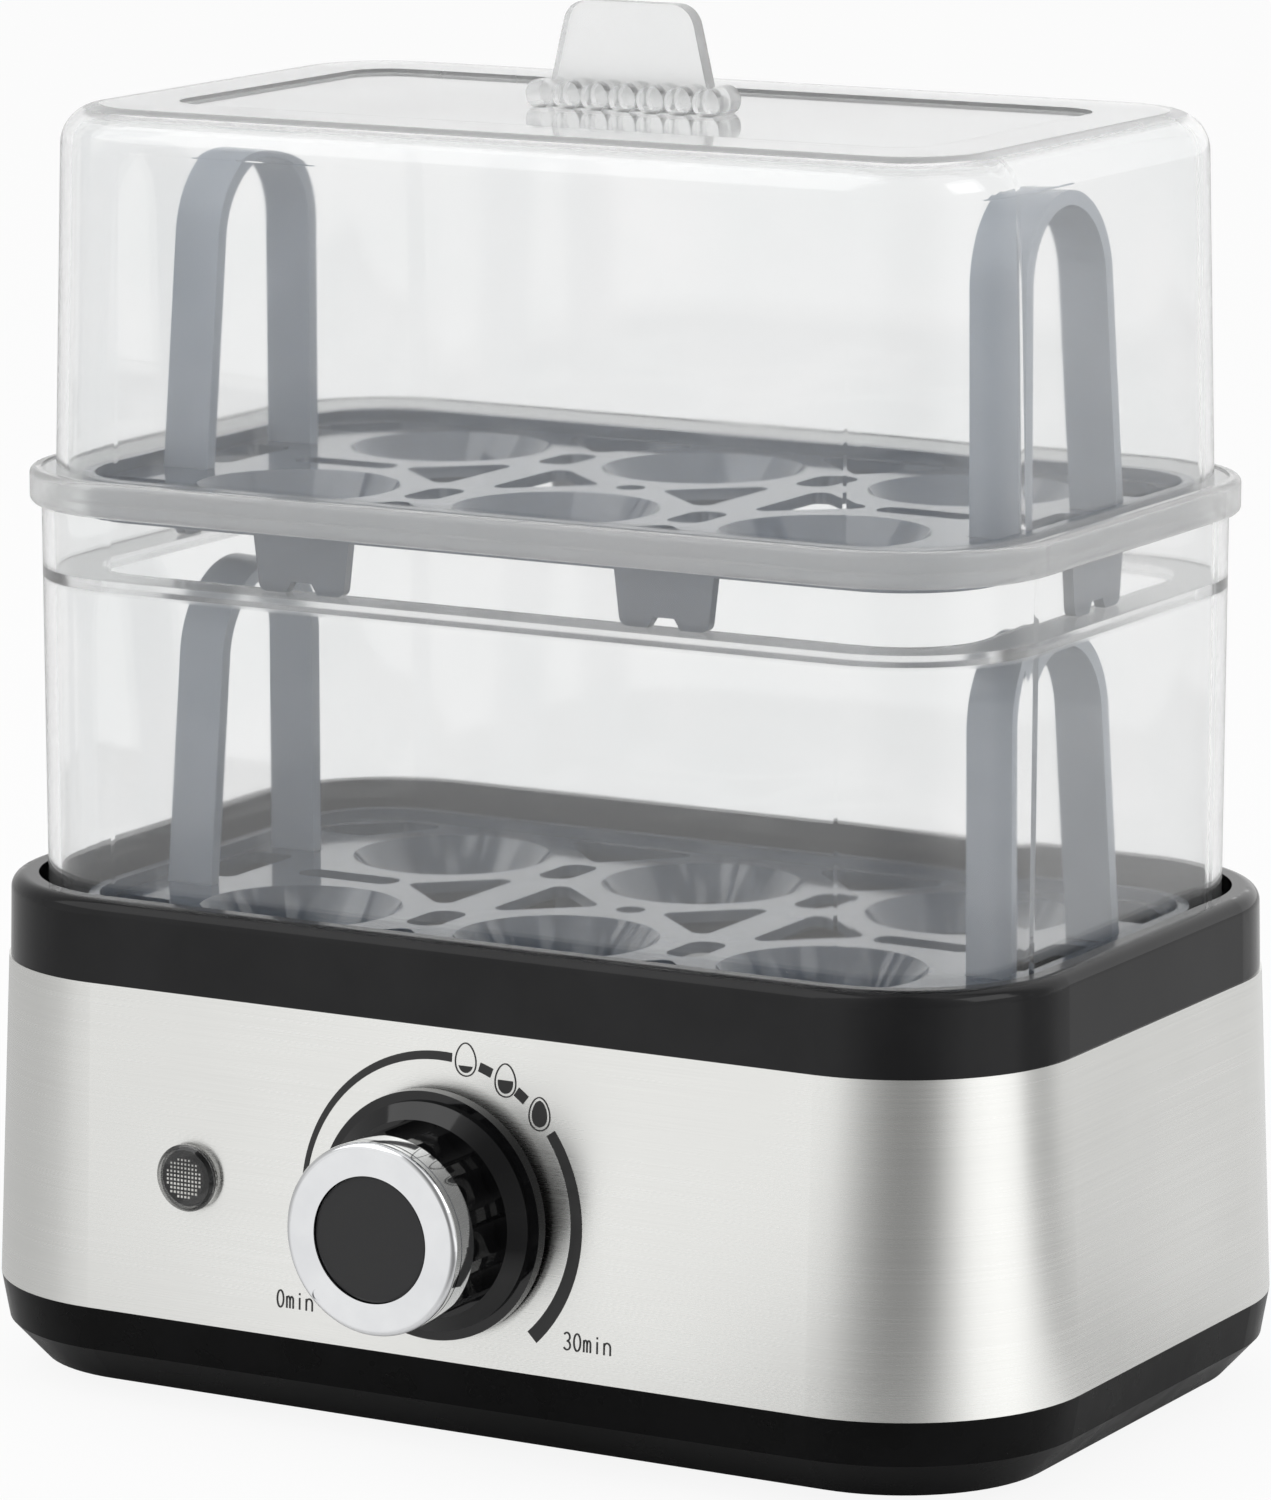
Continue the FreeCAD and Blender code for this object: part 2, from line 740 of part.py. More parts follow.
def build_plate():
    """The steel water dish with its flange, and the studs for the clamp under it."""
    body = new_body("heating_plate")
    flange = outline(body, "flange_plan", "plate_top - plate_gauge", "flange_offset")
    pad(body, "flange", flange, "plate_gauge")
    loft(body, "dish", [
        outline(body, "dish_low", "plate_bottom", "dish_offset - dish_draft"),
        outline(body, "dish_high", "plate_top - plate_gauge", "dish_offset"),
    ])
    loft(body, "dish_hollow", [
        outline(body, "dish_low_inside", "plate_bottom + plate_gauge",
                "dish_offset - dish_draft - plate_gauge"),
        outline(body, "dish_high_inside", "plate_top", "dish_offset - plate_gauge"),
    ], cut=True)
    studs = new_sketch(body, "stud_plan", level="plate_bottom")
    for side in (1, -1):
        add_circle(studs, "0", "%d * stud_spacing / 2" % side, "stud_radius")
    pad(body, "studs", studs, "plate_bottom - clamp_bottom + nut_height + clamp_gauge", down=True)


def build_gasket():
    """The silicone ring between the plate's flange and the collar's seat."""
    body = new_body("plate_gasket")
    plan = outline(body, "gasket_plan", "seat_level", "flange_offset", "flange_offset - gasket_width")
    pad(body, "gasket", plan, "gasket_thickness")


def build_element():
    """The tubular heater, a hairpin with two cold pins, and the clamp that presses it to the plate."""
    bend = bind(DOC.addObject("Part::Torus", "element_bend_tube"),
                Radius1="element_bend", Radius2="element_radius")
    bend.Angle3 = 180
    place(bend, "-element_run / 2", "0", "element_level", Rotation(Vector(0, 0, 1), 90))
    pieces = [bend]
    for side in (1, -1):
        y = "%d * element_bend" % side
        pieces.append(cylinder("element_run_%d" % (side + 2), "element_radius", "element_run",
                               "-element_run / 2", y, "element_level", RIGHT))
        pieces.append(cylinder("element_pin_%d" % (side + 2), "pin_radius", "pin_length",
                               "element_run / 2", y, "element_level", RIGHT))
    node(fuse("heating_element", *pieces))

    bar = box("clamp_bar", ("clamp_width", "clamp_length", "clamp_gauge"), "0", "0", "clamp_bottom")
    arm = box("clamp_arm_strip", ("clamp_arm", "clamp_width", "clamp_gauge"), "0", "0", "clamp_bottom")
    tools = [cylinder("clamp_tab_hole", "tab_width", "clamp_gauge", "-thermostat_place", "0", "clamp_bottom")]
    nuts = []
    for side in (1, -1):
        y = "%d * stud_spacing / 2" % side
        tools.append(cylinder("clamp_hole_%d" % (side + 2), "stud_radius + screw_play", "clamp_gauge",
                              "0", y, "clamp_bottom"))
        blank = DOC.addObject("Part::Prism", "nut_blank_%d" % (side + 2))
        blank.Polygon = 6
        bind(blank, Circumradius="nut_radius", Height="nut_height")
        place(blank, "0", y, "clamp_bottom - nut_height")
        thread = cylinder("nut_thread_%d" % (side + 2), "stud_radius + push_fit", "nut_height",
                          "0", y, "clamp_bottom - nut_height")
        nuts.append(cut("nut_%d" % (side + 2), blank, thread))
    node(cut("element_clamp", fuse("clamp_cross", bar, arm), *tools))
    node(group("clamp_nuts", nuts))


def build_safety():
    """The thermostat and the thermal fuse, held between the plate and the clamp's arm."""
    height = "plate_bottom - clamp_top - seat_gap"
    can = cylinder("thermostat_can", "thermostat_radius", height, "-thermostat_place", "0", "clamp_top")
    tabs = []
    for side in (1, -1):
        x = "-thermostat_place + %d * tab_width / 2" % side
        tabs.append(box("thermostat_tab_%d" % (side + 2), ("tab_gauge", "tab_width", "thermostat_tab_length"),
                        x, "0", "clamp_top - thermostat_tab_length"))
    node(fuse("thermostat", can, *tabs))

    start = "fuse_place - fuse_length / 2"
    sleeve = cylinder("fuse_sleeve", "element_radius", "fuse_length", start, "0", "element_level", RIGHT)
    leads = cylinder("fuse_leads", "fuse_lead_radius", "fuse_length + 2 * fuse_lead_length",
                     start + " - fuse_lead_length", "0", "element_level", RIGHT)
    node(fuse("thermal_fuse", sleeve, leads))


# Timer


def build_timer_case():
    """The timer's front plate, its case, the fixing screws, the bell and the terminals."""
    plate = box("timer_blank", ("timer_width", "timer_plate_gauge", "timer_height"),
                "0", "-timer_front + timer_plate_gauge / 2", "knob_level - timer_height / 2")
    holes = [
        cylinder("plate_shaft_hole", "shaft_radius + running_fit", "timer_plate_gauge",
                 "0", "-timer_back", "knob_level", FRONT),
        cylinder("plate_arbor_hole", "arbor_radius + running_fit", "timer_plate_gauge",
                 "arbor_x", "-timer_back", "arbor_z", FRONT),
    ]
    screws = []
    for side in (1, -1):
        x = "%d * timer_screw_place" % side
        name = "timer_screw_%d" % (side + 2)
        holes.append(cylinder(name + "_hole", "timer_screw_radius + push_fit", "timer_plate_gauge",
                              x, "-timer_back", "knob_level", FRONT))
        head = cylinder(name + "_head", "timer_screw_head_radius", "timer_screw_head_height",
                        x, "-knob_face - seat_gap", "knob_level", FRONT)
        shank = cylinder(name + "_shank", "timer_screw_radius", "timer_screw_length",
                         x, "-knob_face - seat_gap + timer_screw_length", "knob_level", FRONT)
        screws.append(fuse(name, head, shank))
    node(cut("timer_plate", plate, *holes))
    node(group("timer_screws", screws))

    shell = box("case_blank", ("timer_width", "timer_depth", "timer_height"),
                "0", "-timer_back + timer_depth / 2", "knob_level - timer_height / 2")
    inside = box("case_hollow", ("timer_width - 2 * timer_skin", "timer_depth - timer_skin",
                                 "timer_height - 2 * timer_skin"),
                 "0", "-timer_back + (timer_depth - timer_skin) / 2",
                 "knob_level - timer_height / 2 + timer_skin")
    bearings = [
        cylinder("case_shaft_hole", "shaft_radius + running_fit", "timer_skin", "0", "-timer_rear",
                 "knob_level", FRONT),
        cylinder("case_arbor_hole", "arbor_radius + running_fit", "timer_skin", "arbor_x", "-timer_rear",
                 "arbor_z", FRONT),
    ]
    node(cut("timer_case", shell, inside, *bearings))

    coil = cylinder("spring_drum", "spring_radius", "spring_width", "0", "-spring_back", "knob_level", FRONT)
    eye = cylinder("spring_eye", "shaft_radius + lip_gap", "spring_width",
                   "0", "-spring_back", "knob_level", FRONT)
    node(cut("timer_spring", coil, eye))

    gong_level = "-timer_rear + seat_gap"
    gong = cylinder("gong_blank", "bell_radius", "bell_depth",
                    "0", gong_level + " + lip_gap", "knob_level", REAR)
    hollow = cylinder("gong_hollow", "bell_radius - bell_gauge", "bell_depth - bell_gauge",
                      "0", gong_level + " + lip_gap", "knob_level", REAR)
    post = cylinder("gong_post", "bell_post_radius", "bell_depth", "0", gong_level, "knob_level", REAR)
    node(fuse("timer_bell", cut("gong", gong, hollow), post))

    tabs = []
    for side in (1, -1):
        tabs.append(box("timer_tab_%d" % (side + 2), ("terminal_length", "tab_gauge", "tab_width"),
                        "timer_width / 2 + terminal_length / 2", "-timer_back + timer_depth / 2",
                        "knob_level + %d * terminal_spacing / 2 - tab_width / 2" % side))
    node(group("timer_terminals", tabs))


def toothed_wheel(name, teeth, width, x, y, z, turn):
    """Adds a slim-toothed wheel; its many-sided outline is drawn by code from the sheet's sizes."""
    count, module = round(number(teeth)), number("gear_module")
    pitch_radius = module * count / 2
    root, tip = pitch_radius - TOOTH_FALL * module, pitch_radius + TOOTH_RISE * module
    half_root, half_tip = math.pi * module * TOOTH_ROOT / 2, math.pi * module * TOOTH_TIP / 2
    points = []
    for index in range(count):
        middle = 2 * math.pi * index / count
        for radius, half in ((root, -half_root), (tip, -half_tip), (tip, half_tip), (root, half_root)):
            angle = middle + half / radius
            points.append(Vector(radius * math.cos(angle), radius * math.sin(angle), 0))
    item = DOC.addObject("Part::Feature", name)
    item.Shape = Part.Face(Part.makePolygon(points + points[:1])).extrude(Vector(0, 0, number(width)))
    return place(item, x, y, z, turn)


def build_timer_train():
    """The knob's shaft with its wheel and cam, and the arbor that the wheel drives."""
    length = "shaft_tip - timer_rear"
    bar = cylinder("shaft_bar", "shaft_radius", length, "0", "-timer_rear", "knob_level", FRONT)
    flat = box("shaft_flat_cut", ("2 * shaft_radius", "knob_bore_depth", "shaft_radius"),
               "0", "-shaft_tip + knob_bore_depth / 2", "knob_level + shaft_flat")
    node(cut("timer_shaft", bar, flat))

    toward = FRONT.multiply(Rotation(Vector(0, 0, 1), number("arbor_angle")))
    wheel = toothed_wheel("gear_wheel", "gear_teeth", "gear_width", "0", "-gear_back", "knob_level", toward)
    bore = cylinder("gear_bore", "shaft_radius + push_fit", "gear_width",
                    "0", "-gear_back", "knob_level", FRONT)
    node(cut("timer_gear", wheel, bore))

    disc = cylinder("cam_disc", "cam_radius", "cam_width", "0", "-cam_back", "knob_level", FRONT)
    eye = cylinder("cam_eye", "shaft_radius + push_fit", "cam_width", "0", "-cam_back", "knob_level", FRONT)
    notch = cylinder("cam_notch", "cam_notch_radius", "cam_width",
                     "0", "-cam_back", "knob_level + cam_radius", FRONT)
    node(cut("timer_cam", disc, eye, notch))

    facing = number("arbor_angle + 180 + 180 / pinion_teeth")
    between = FRONT.multiply(Rotation(Vector(0, 0, 1), facing))
    staff = cylinder("arbor_staff", "arbor_radius", "timer_depth + timer_plate_gauge",
                     "arbor_x", "-timer_rear", "arbor_z", FRONT)
    fly = cylinder("arbor_fly", "arbor_disc_radius", "gear_width / 2",
                   "arbor_x", "-timer_rear - timer_skin - spring_width / 2", "arbor_z", FRONT)
    pinion = toothed_wheel("arbor_pinion", "pinion_teeth", "gear_width",
                           "arbor_x", "-gear_back", "arbor_z", between)
    node(fuse("timer_arbor", staff, fly, pinion))


# Knob


def build_knob():
    """The fluted knob, its chrome ring with a round mark, and the black insert."""
    body = new_body("knob_body", "0", "-knob_face", "knob_level", FRONT)
    skirt_front = "knob_gap + skirt_edge"
    step_front = skirt_front + " + skirt_step"
    revolve(body, "knob_turned", [
        ("0", "knob_gap + knob_hollow_depth"), ("knob_hollow_radius", "knob_gap + knob_hollow_depth"),
        ("knob_hollow_radius", "knob_gap"), ("skirt_radius", "knob_gap"), ("skirt_radius", skirt_front),
        ("skirt_step_radius", skirt_front), ("skirt_step_radius", step_front), ("dish_radius", "grip_back"),
        ("grip_radius", "grip_back"), ("grip_radius", "grip_front"), ("0", "grip_front"),
    ])
    hub = new_sketch(body, "hub_plan", level="knob_gap")
    add_circle(hub, "0", "0", "knob_hub_radius")
    pad(body, "hub", hub, "knob_hollow_depth")
    flute = new_sketch(body, "flute_plan", level="grip_front")
    add_circle(flute, "grip_radius + flute_radius - flute_depth", "0", "flute_radius")
    one = pocket(body, "flute", flute, "grip_length")
    polar(body, "flutes", one, flute, "flute_count")
    bore = new_sketch(body, "bore_plan", level="knob_gap")
    add_circle(bore, "0", "0", "shaft_radius + push_fit")
    pocket(body, "bore", bore, "knob_bore_depth", forward=True)

    ring = new_body("knob_ring", "0", "-knob_face", "knob_level", FRONT)
    ring_front = "grip_front + ring_length"
    groove = ring_front + " - ring_groove_place"
    revolve(ring, "ring_turned", [
        ("cap_radius + cap_play", "grip_front"), ("ring_radius", "grip_front"),
        ("ring_radius", groove), ("ring_radius - ring_groove", groove),
        ("ring_radius - ring_groove", groove + " + ring_groove"), ("ring_radius", groove + " + ring_groove"),
        ("ring_radius", ring_front), ("cap_radius + cap_play", ring_front),
    ])
    fillet(ring, "ring_rounded", "ring_round",
           lambda edge: lies_at(edge, ring_front) and edge.BoundBox.XMax > number("cap_radius + ring_round"))
    mark = new_sketch(ring, "mark_plan", level=ring_front)
    start = "(270 - (360 - dial_sweep) / 2) * 1deg"
    add_circle(mark, "mark_place * cos(%s)" % start, "mark_place * sin(%s)" % start, "mark_radius")
    pocket(ring, "mark", mark, "mark_depth")

    cap = new_body("knob_cap", "0", "-knob_face", "knob_level", FRONT)
    cap_front = ring_front + " - cap_sink"
    revolve(cap, "cap_turned", [
        ("0", "grip_front"), ("cap_radius", "grip_front"), ("cap_radius", cap_front + " - cap_play"),
        ("cap_radius - cap_sink", cap_front), ("0", cap_front),
    ])


# Lamp, cord inlet, terminals and wires


def build_lamp():
    """The clear push-in lens, the washer that holds it, and the neon lamp on its plug."""
    seat = "face_gap"
    spot = ("-lamp_place", "-knob_face", "knob_level", FRONT)
    lens = new_body("lamp_lens", *spot)
    front = seat + " + lens_flange"
    revolve(lens, "lens_turned", [
        ("0", seat), ("barrel_bore", seat),
        ("barrel_bore", "-barrel_length"), ("barrel_radius", "-barrel_length"),
        ("barrel_radius", seat), ("lens_radius", seat), ("lens_radius", front + " - lens_bevel"),
        ("lens_radius - lens_bevel", front), ("0", front),
    ])
    washer = new_body("lamp_washer", *spot)
    back = "-band_gauge - face_gap - washer_gauge"
    revolve(washer, "washer_turned", [
        ("barrel_radius + push_fit", back), ("washer_radius", back),
        ("washer_radius", back + " + washer_gauge"), ("barrel_radius + push_fit", back + " + washer_gauge"),
    ])
    plug = new_body("lamp_plug", *spot)
    plug_front = "plug_depth - barrel_length"
    revolve(plug, "plug_turned", [
        ("0", plug_front + " - plug_length"), ("barrel_radius", plug_front + " - plug_length"),
        ("barrel_radius", "-barrel_length - seat_gap"),
        ("barrel_bore - push_fit", "-barrel_length - seat_gap"),
        ("barrel_bore - push_fit", plug_front), ("0", plug_front),
    ])
    bulb = new_body("neon_bulb", *spot)
    tip = plug_front + " + bulb_length"
    revolve(bulb, "bulb_turned", [
        ("0", plug_front), ("bulb_radius", plug_front), ("bulb_radius", tip + " - bulb_radius / 2"),
        ("bulb_radius / 2", tip), ("0", tip),
    ])


def build_gland():
    """The bush of the cord inlet and the nut behind it."""
    bush = new_body("cord_gland", "gland_place", "gland_face", "gland_level", REAR)
    revolve(bush, "bush_turned", [
        ("gland_bore", "-gland_reach"), ("gland_neck", "-gland_reach"), ("gland_neck", "face_gap"),
        ("gland_flange_radius", "face_gap"), ("gland_flange_radius", "face_gap + gland_flange"),
        ("gland_bore", "face_gap + gland_flange"),
    ])
    nut_back = "gland_face - band_gauge - face_gap"
    blank = DOC.addObject("Part::Prism", "gland_nut_blank")
    blank.Polygon = 6
    bind(blank, Circumradius="gland_nut_radius", Height="gland_nut_height")
    place(blank, "gland_place", nut_back, "gland_level", FRONT)
    thread = cylinder("gland_nut_thread", "gland_neck + push_fit", "gland_nut_height",
                      "gland_place", nut_back, "gland_level", FRONT)
    node(cut("gland_nut", blank, thread))


def build_block():
    """The terminal block on the pan's floor."""
    blank = box("block_blank", ("block_length", "block_width", "block_height"),
                "block_place_x", "block_place_y", "pan_floor")
    holes = []
    for index, share in enumerate((-1, 0, 1), 1):
        holes.append(cylinder("block_hole_%d" % index, "block_hole_radius", "block_height / 2",
                              "block_place_x + %d * block_length / 3" % share, "block_place_y",
                              "pan_floor + block_height / 2"))
    node(cut("terminal_block", blank, *holes))


def tube(points, radius):
    """Sweeps a round wire along straight runs joined by tangent arcs."""
    edges = []
    start = points[0]
    for before, corner, after in zip(points, points[1:], points[2:]):
        arriving = (corner - before).normalize()
        leaving = (after - corner).normalize()
        half_turn = arriving.getAngle(leaving) / 2
        reach = BEND_SHARE * min(corner.distanceToPoint(before), corner.distanceToPoint(after))
        bend = reach / math.tan(half_turn)
        inwards = (leaving - arriving).normalize()
        middle = corner + inwards * (bend / math.cos(half_turn) - bend)
        first, last = corner - arriving * reach, corner + leaving * reach
        edges.append(Part.LineSegment(start, first).toShape())
        edges.append(Part.Arc(first, middle, last).toShape())
        start = last
    edges.append(Part.LineSegment(start, points[-1]).toShape())
    path = Part.Wire(edges)
    section = Part.Wire(Part.makeCircle(radius, points[0], points[1] - points[0]))
    return path.makePipeShell([section], True, False)


def wire(name, routes, radius):
    """Adds one node of wires along routes of formula points, with Part's own sweep."""
    solids = []
    for route in routes:
        solids.append(tube([Vector(*(number(text) for text in point)) for point in route], number(radius)))
    item = DOC.addObject("Part::Feature", name)
    item.Shape = solids[0] if len(solids) == 1 else Part.makeCompound(solids)
    node(place(item))


def build_wires():
    """The leads inside the base, from piece to piece."""
    tab_x = "timer_width / 2 + terminal_length + wire_play"
    tab_y = "-timer_back + timer_depth / 2"
    high_tab = "knob_level + terminal_spacing / 2"
    low_tab = "knob_level - terminal_spacing / 2"
    pin_x = "element_run / 2 + pin_length + wire_play"
    block_front = "block_place_y - block_width / 2 - wire_play"
    block_mid = "pan_floor + block_height / 2"
    left_way = "block_place_x - block_length / 3"
    wire("live_wire", [[
        (left_way, block_front, block_mid),
        (left_way, block_front + " - lead_swing", block_mid),
        (left_way + " + lead_rise", block_front + " - 2 * lead_swing", block_mid + " + lead_out"),
        (tab_x + " + lead_swing", tab_y + " + lead_out", high_tab + " - lead_rise"),
        (tab_x + " + lead_out", tab_y, high_tab),
        (tab_x, tab_y, high_tab),
    ]], "wire_radius")
    wire("switched_wire", [[
        (tab_x, tab_y, low_tab),
        (tab_x + " + lead_out", tab_y, low_tab),
        (pin_x + " + lead_out", tab_y + " + lead_out", low_tab + " + lead_rise"),
        (pin_x + " + lead_out", "-element_bend - lead_rise", "element_level - lead_rise"),
        (pin_x + " + lead_rise", "-element_bend", "element_level"),
        (pin_x, "-element_bend", "element_level"),
    ]], "wire_radius")
    right_way = "block_place_x + block_length / 3"
    wire("neutral_wire", [[
        (right_way, block_front, block_mid),
        (right_way, block_front + " - lead_rise", block_mid),
        (right_way + " + lead_rise", block_front + " - lead_out", block_mid + " + lead_swing"),
        (pin_x + " + lead_out", "element_bend - lead_rise / 2", "element_level - lead_out"),
        (pin_x + " + lead_rise", "element_bend", "element_level"),
        (pin_x, "element_bend", "element_level"),
    ]], "wire_radius")
    plug_back = "-knob_face + barrel_length - plug_depth + plug_length + wire_play"
    case_side = "-timer_width / 2 - wire_play"
    routes = []
    for side in (1, -1):
        lift = "%d * bulb_radius" % side
        routes.append([
            ("-lamp_place", plug_back, "knob_level + " + lift),
            ("-lamp_place", plug_back + " + lead_rise / 2", "knob_level + " + lift),
            ("-lamp_place + lead_rise", plug_back + " + lead_rise", "knob_level + 2 * %s" % lift),
            (case_side + " - lead_rise", tab_y, "knob_level + 2 * %s" % lift),
            (case_side, tab_y, "knob_level + 2 * %s" % lift),
        ])
    wire("lamp_wires", routes, "lamp_wire_radius")


# Steam tier, racks, handles and lid


def build_tier():
    """The clear ring: its foot stands in the collar's well, its ledge carries the rack, its rim the lid."""
    body = new_body("steam_tier", "0", "0", "tier_bottom")
    loft(body, "tier_wall_solid", [
        outline(body, "tier_low_plan", "0", "tier_low"),
        outline(body, "tier_high_plan", "tier_height", "tier_high"),
    ])
    pad(body, "tier_rim", outline(body, "rim_plan", "tier_height - rim_height", "rim_offset"), "rim_height")
    fillet(body, "rim_rounded", "rim_round",
           lambda edge: (lies_at(edge, "tier_height") or lies_at(edge, "tier_height - rim_height"))
           and reaches(edge, "rim_offset"))
    loft(body, "tier_hollow", [
        outline(body, "tier_low_inside", "0", "tier_low - tier_wall"),
        outline(body, "tier_high_inside", "tier_height", "tier_high - tier_wall"),
    ], cut=True)
    rabbet = outline(body, "rabbet_plan", "tier_height", "rim_offset - rim_wall")
    pocket(body, "rabbet", rabbet, "rim_depth")
    ledge = outline(body, "ledge_plan", "ledge_level - ledge_thickness",
                    "tier_low - tier_wall / 2", "ledge_offset")
    pad(body, "ledge", ledge, "ledge_thickness")


def reaches(edge, offset):
    """Says whether an edge lies on the outline with an offset: all its ends are as far out as the outline."""
    half_width = number("base_width / 2 + (%s)" % offset)
    half_depth = number("base_depth / 2 + (%s)" % offset)
    return any(abs(abs(v.X) - half_width) < 1e-4 or abs(abs(v.Y) - half_depth) < 1e-4 for v in edge.Vertexes)


def foot_profile(centre):
    """Gives the outline of a rack's foot about a centre: tapered, with a notch in its bottom."""
    top, bottom = "deck_thickness / 2 - skirt_depth", "-rack_stand"
    half_notch, notch_top = "foot_notch_width / 2", bottom + " + foot_notch_depth"
    left = [("foot_top_width / 2", top), ("foot_bottom_width / 2", bottom), (half_notch, bottom),
            (half_notch + " - foot_notch_taper", notch_top)]
    points = [("%s - (%s)" % (centre, x), z) for x, z in left]
    return points + [("%s + (%s)" % (centre, x), z) for x, z in reversed(left)]


def is_foot_corner(edge):
    """Says whether an edge is one of the two bottom corners of a rack's foot."""
    middle, half = edge.CenterOfMass, "foot_bottom_width / 2"
    beside = near(abs(abs(middle.x) - number("foot_place")), half) or near(abs(middle.y), half)
    return beside and lies_at(edge, "-rack_stand") and near(edge.Length, "rack_wall")


def mirrored(points, side, way):
    """Gives points mirrored by two signs, as pairs of formulas."""
    return [("%d * (%s)" % (side, x), "%d * (%s)" % (way, y)) for x, y in points]


def build_rack(name, deck_level):
    """An egg rack: a rimmed deck with six conical seats, a web of openings, and feet; Z is 0 on the deck."""
    body = new_body(name, "0", "0", deck_level)

    def titled(label):
        return name + "_" + label

    rim = outline(body, titled("rim_plan"), "-skirt_depth", "rack_offset")
    pad(body, titled("rim"), rim, "skirt_depth + rim_rise")
    inside = outline(body, titled("tray_plan"), "rim_rise", "rack_offset - rack_wall")
    pocket(body, titled("tray"), inside, "rim_rise")
    under = outline(body, titled("under_plan"), "-skirt_depth", "rack_offset - rack_wall")
    pocket(body, titled("under"), under, "skirt_depth - deck_thickness", forward=True)
    for label, plane, level, centres, inwards in (
            ("front_feet", "XZ_Plane", "rack_half_depth", ("foot_place", "-foot_place"), True),
            ("rear_feet", "XZ_Plane", "-rack_half_depth", ("foot_place", "-foot_place"), False),
            ("right_foot", "YZ_Plane", "rack_half_width", ("0",), True),
            ("left_foot", "YZ_Plane", "-rack_half_width", ("0",), False)):
        feet = new_sketch(body, titled(label + "_plan"), plane, level)
        for centre in centres:
            add_polygon(feet, foot_profile(centre))
        pad(body, titled(label), feet, "rack_wall", down=inwards)
    fillet(body, titled("foot_corners"), "foot_round", is_foot_corner)
    for index, (x, y) in enumerate(seat_places(), 1):
        add_cone(body, titled("cup_%d" % index), False,
                 "cup_mouth + cup_wall", "seat_radius + cup_wall", x, y)
    for index, (x, y) in enumerate(seat_places(), 1):
        add_cone(body, titled("seat_%d" % index), True, "cup_mouth", "seat_radius", x, y)

    bay = "seat_pitch_x / 2"
    edge_x = "rack_half_width - rack_wall - edge_void_margin"
    edge_y = "rack_half_depth - rack_wall - edge_void_margin"
    triangles = new_sketch(body, titled("triangle_plan"))
    edges = new_sketch(body, titled("edge_plan"))
    ends = new_sketch(body, titled("end_plan"))
    for side in (1, -1):
        for way in (1, -1):
            x = "%d * %s + %d" % (side, bay, way)
            add_polygon(triangles, [
                (x + " * web_width / 2", "web_triangle_length / 2"),
                (x + " * web_width / 2", "-web_triangle_length / 2"),
                (x + " * web_triangle_reach", "0"),
            ])
            add_polygon(edges, mirrored([
                (bay + " - edge_void_width / 2", edge_y), (bay + " + edge_void_width / 2", edge_y),
                (bay, edge_y + " - edge_void_depth"),
            ], side, way))
            add_polygon(ends, mirrored([
                (edge_x, edge_y + " - corner_void_depth"), (edge_x, edge_y + " - corner_void_near"),
                (edge_x + " - corner_void_near", edge_y), (edge_x + " - corner_void_far", edge_y),
                (edge_x + " - corner_void_near", edge_y + " - corner_void_depth"),
            ], side, way))
        add_polygon(ends, mirrored([
            (edge_x, "-end_void_length / 2"), (edge_x, "end_void_length / 2"),
            (edge_x + " - end_void_width", "end_void_length / 2"),
            (edge_x + " - end_void_width", "-end_void_length / 2"),
        ], side, 1))
    for label, sketch in (("triangles", triangles), ("edge_voids", edges), ("end_voids", ends)):
        pocket(body, titled(label), sketch, "deck_thickness")
    fillet(body, titled("void_corners"), "web_round",
           lambda edge: near(edge.BoundBox.ZLength, "deck_thickness") and near(edge.BoundBox.ZMax, "0"))

    for index, side in enumerate((1, -1)):
        slots = new_sketch(body, titled("slot_plan_%d" % index))
        for way in (1, -1):
            add_rounded(slots, "web_slot_width", "web_slot_length", "web_slot_width * slot_round",
                        "%d * %s" % (side, bay), "%d * web_slot_place" % way)
        add_rounded(slots, "end_slot_length", "end_slot_width", "end_slot_width * slot_round",
                    "%d * end_slot_place" % side)
        pocket(body, titled("slots_%d" % index), slots, "deck_thickness")
    sockets = new_sketch(body, titled("socket_plan"))
    add_circle(sockets, "0", "0", "centre_hole_radius")
    half_x, half_y = "handle_width / 2 + slot_play", "handle_gauge / 2 + slot_play"
    for x, y in corners("handle_place", "handle_span / 2"):
        add_polygon(sockets, [
            ("%s - (%s)" % (x, half_x), "%s - (%s)" % (y, half_y)),
            ("%s + %s" % (x, half_x), "%s - (%s)" % (y, half_y)),
            ("%s + %s" % (x, half_x), "%s + %s" % (y, half_y)),
            ("%s - (%s)" % (x, half_x), "%s + %s" % (y, half_y)),
        ])
    pocket(body, titled("sockets"), sockets, "deck_thickness")


def seat_places():
    """Gives the middles of the six egg seats, two rows of three."""
    return [("%d * seat_pitch_x" % column, "%d * seat_pitch_y / 2" % row)
            for row in (1, -1) for column in (-1, 0, 1)]


def add_cone(body, name, taken, low_radius, high_radius, x, y):
    """Adds or cuts the cone of an egg seat, from the cup's mouth up to the deck."""
    item = body.newObject("PartDesign::SubtractiveCone" if taken else "PartDesign::AdditiveCone", name)
    item.Refine = False
    bind(item, Radius1=low_radius, Radius2=high_radius, Height="cup_depth")
    place_within(item, x, y, "-cup_depth")


def tangent_point(point, centre, radius, side):
    """Finds where a line from a point touches a circle, on the circle's left or right side."""
    away = point - centre
    angle = math.acos(radius / away.Length) * side
    touch = Vector(away.x * math.cos(angle) - away.y * math.sin(angle),
                   away.x * math.sin(angle) + away.y * math.cos(angle), 0)
    return centre + touch.normalize() * radius


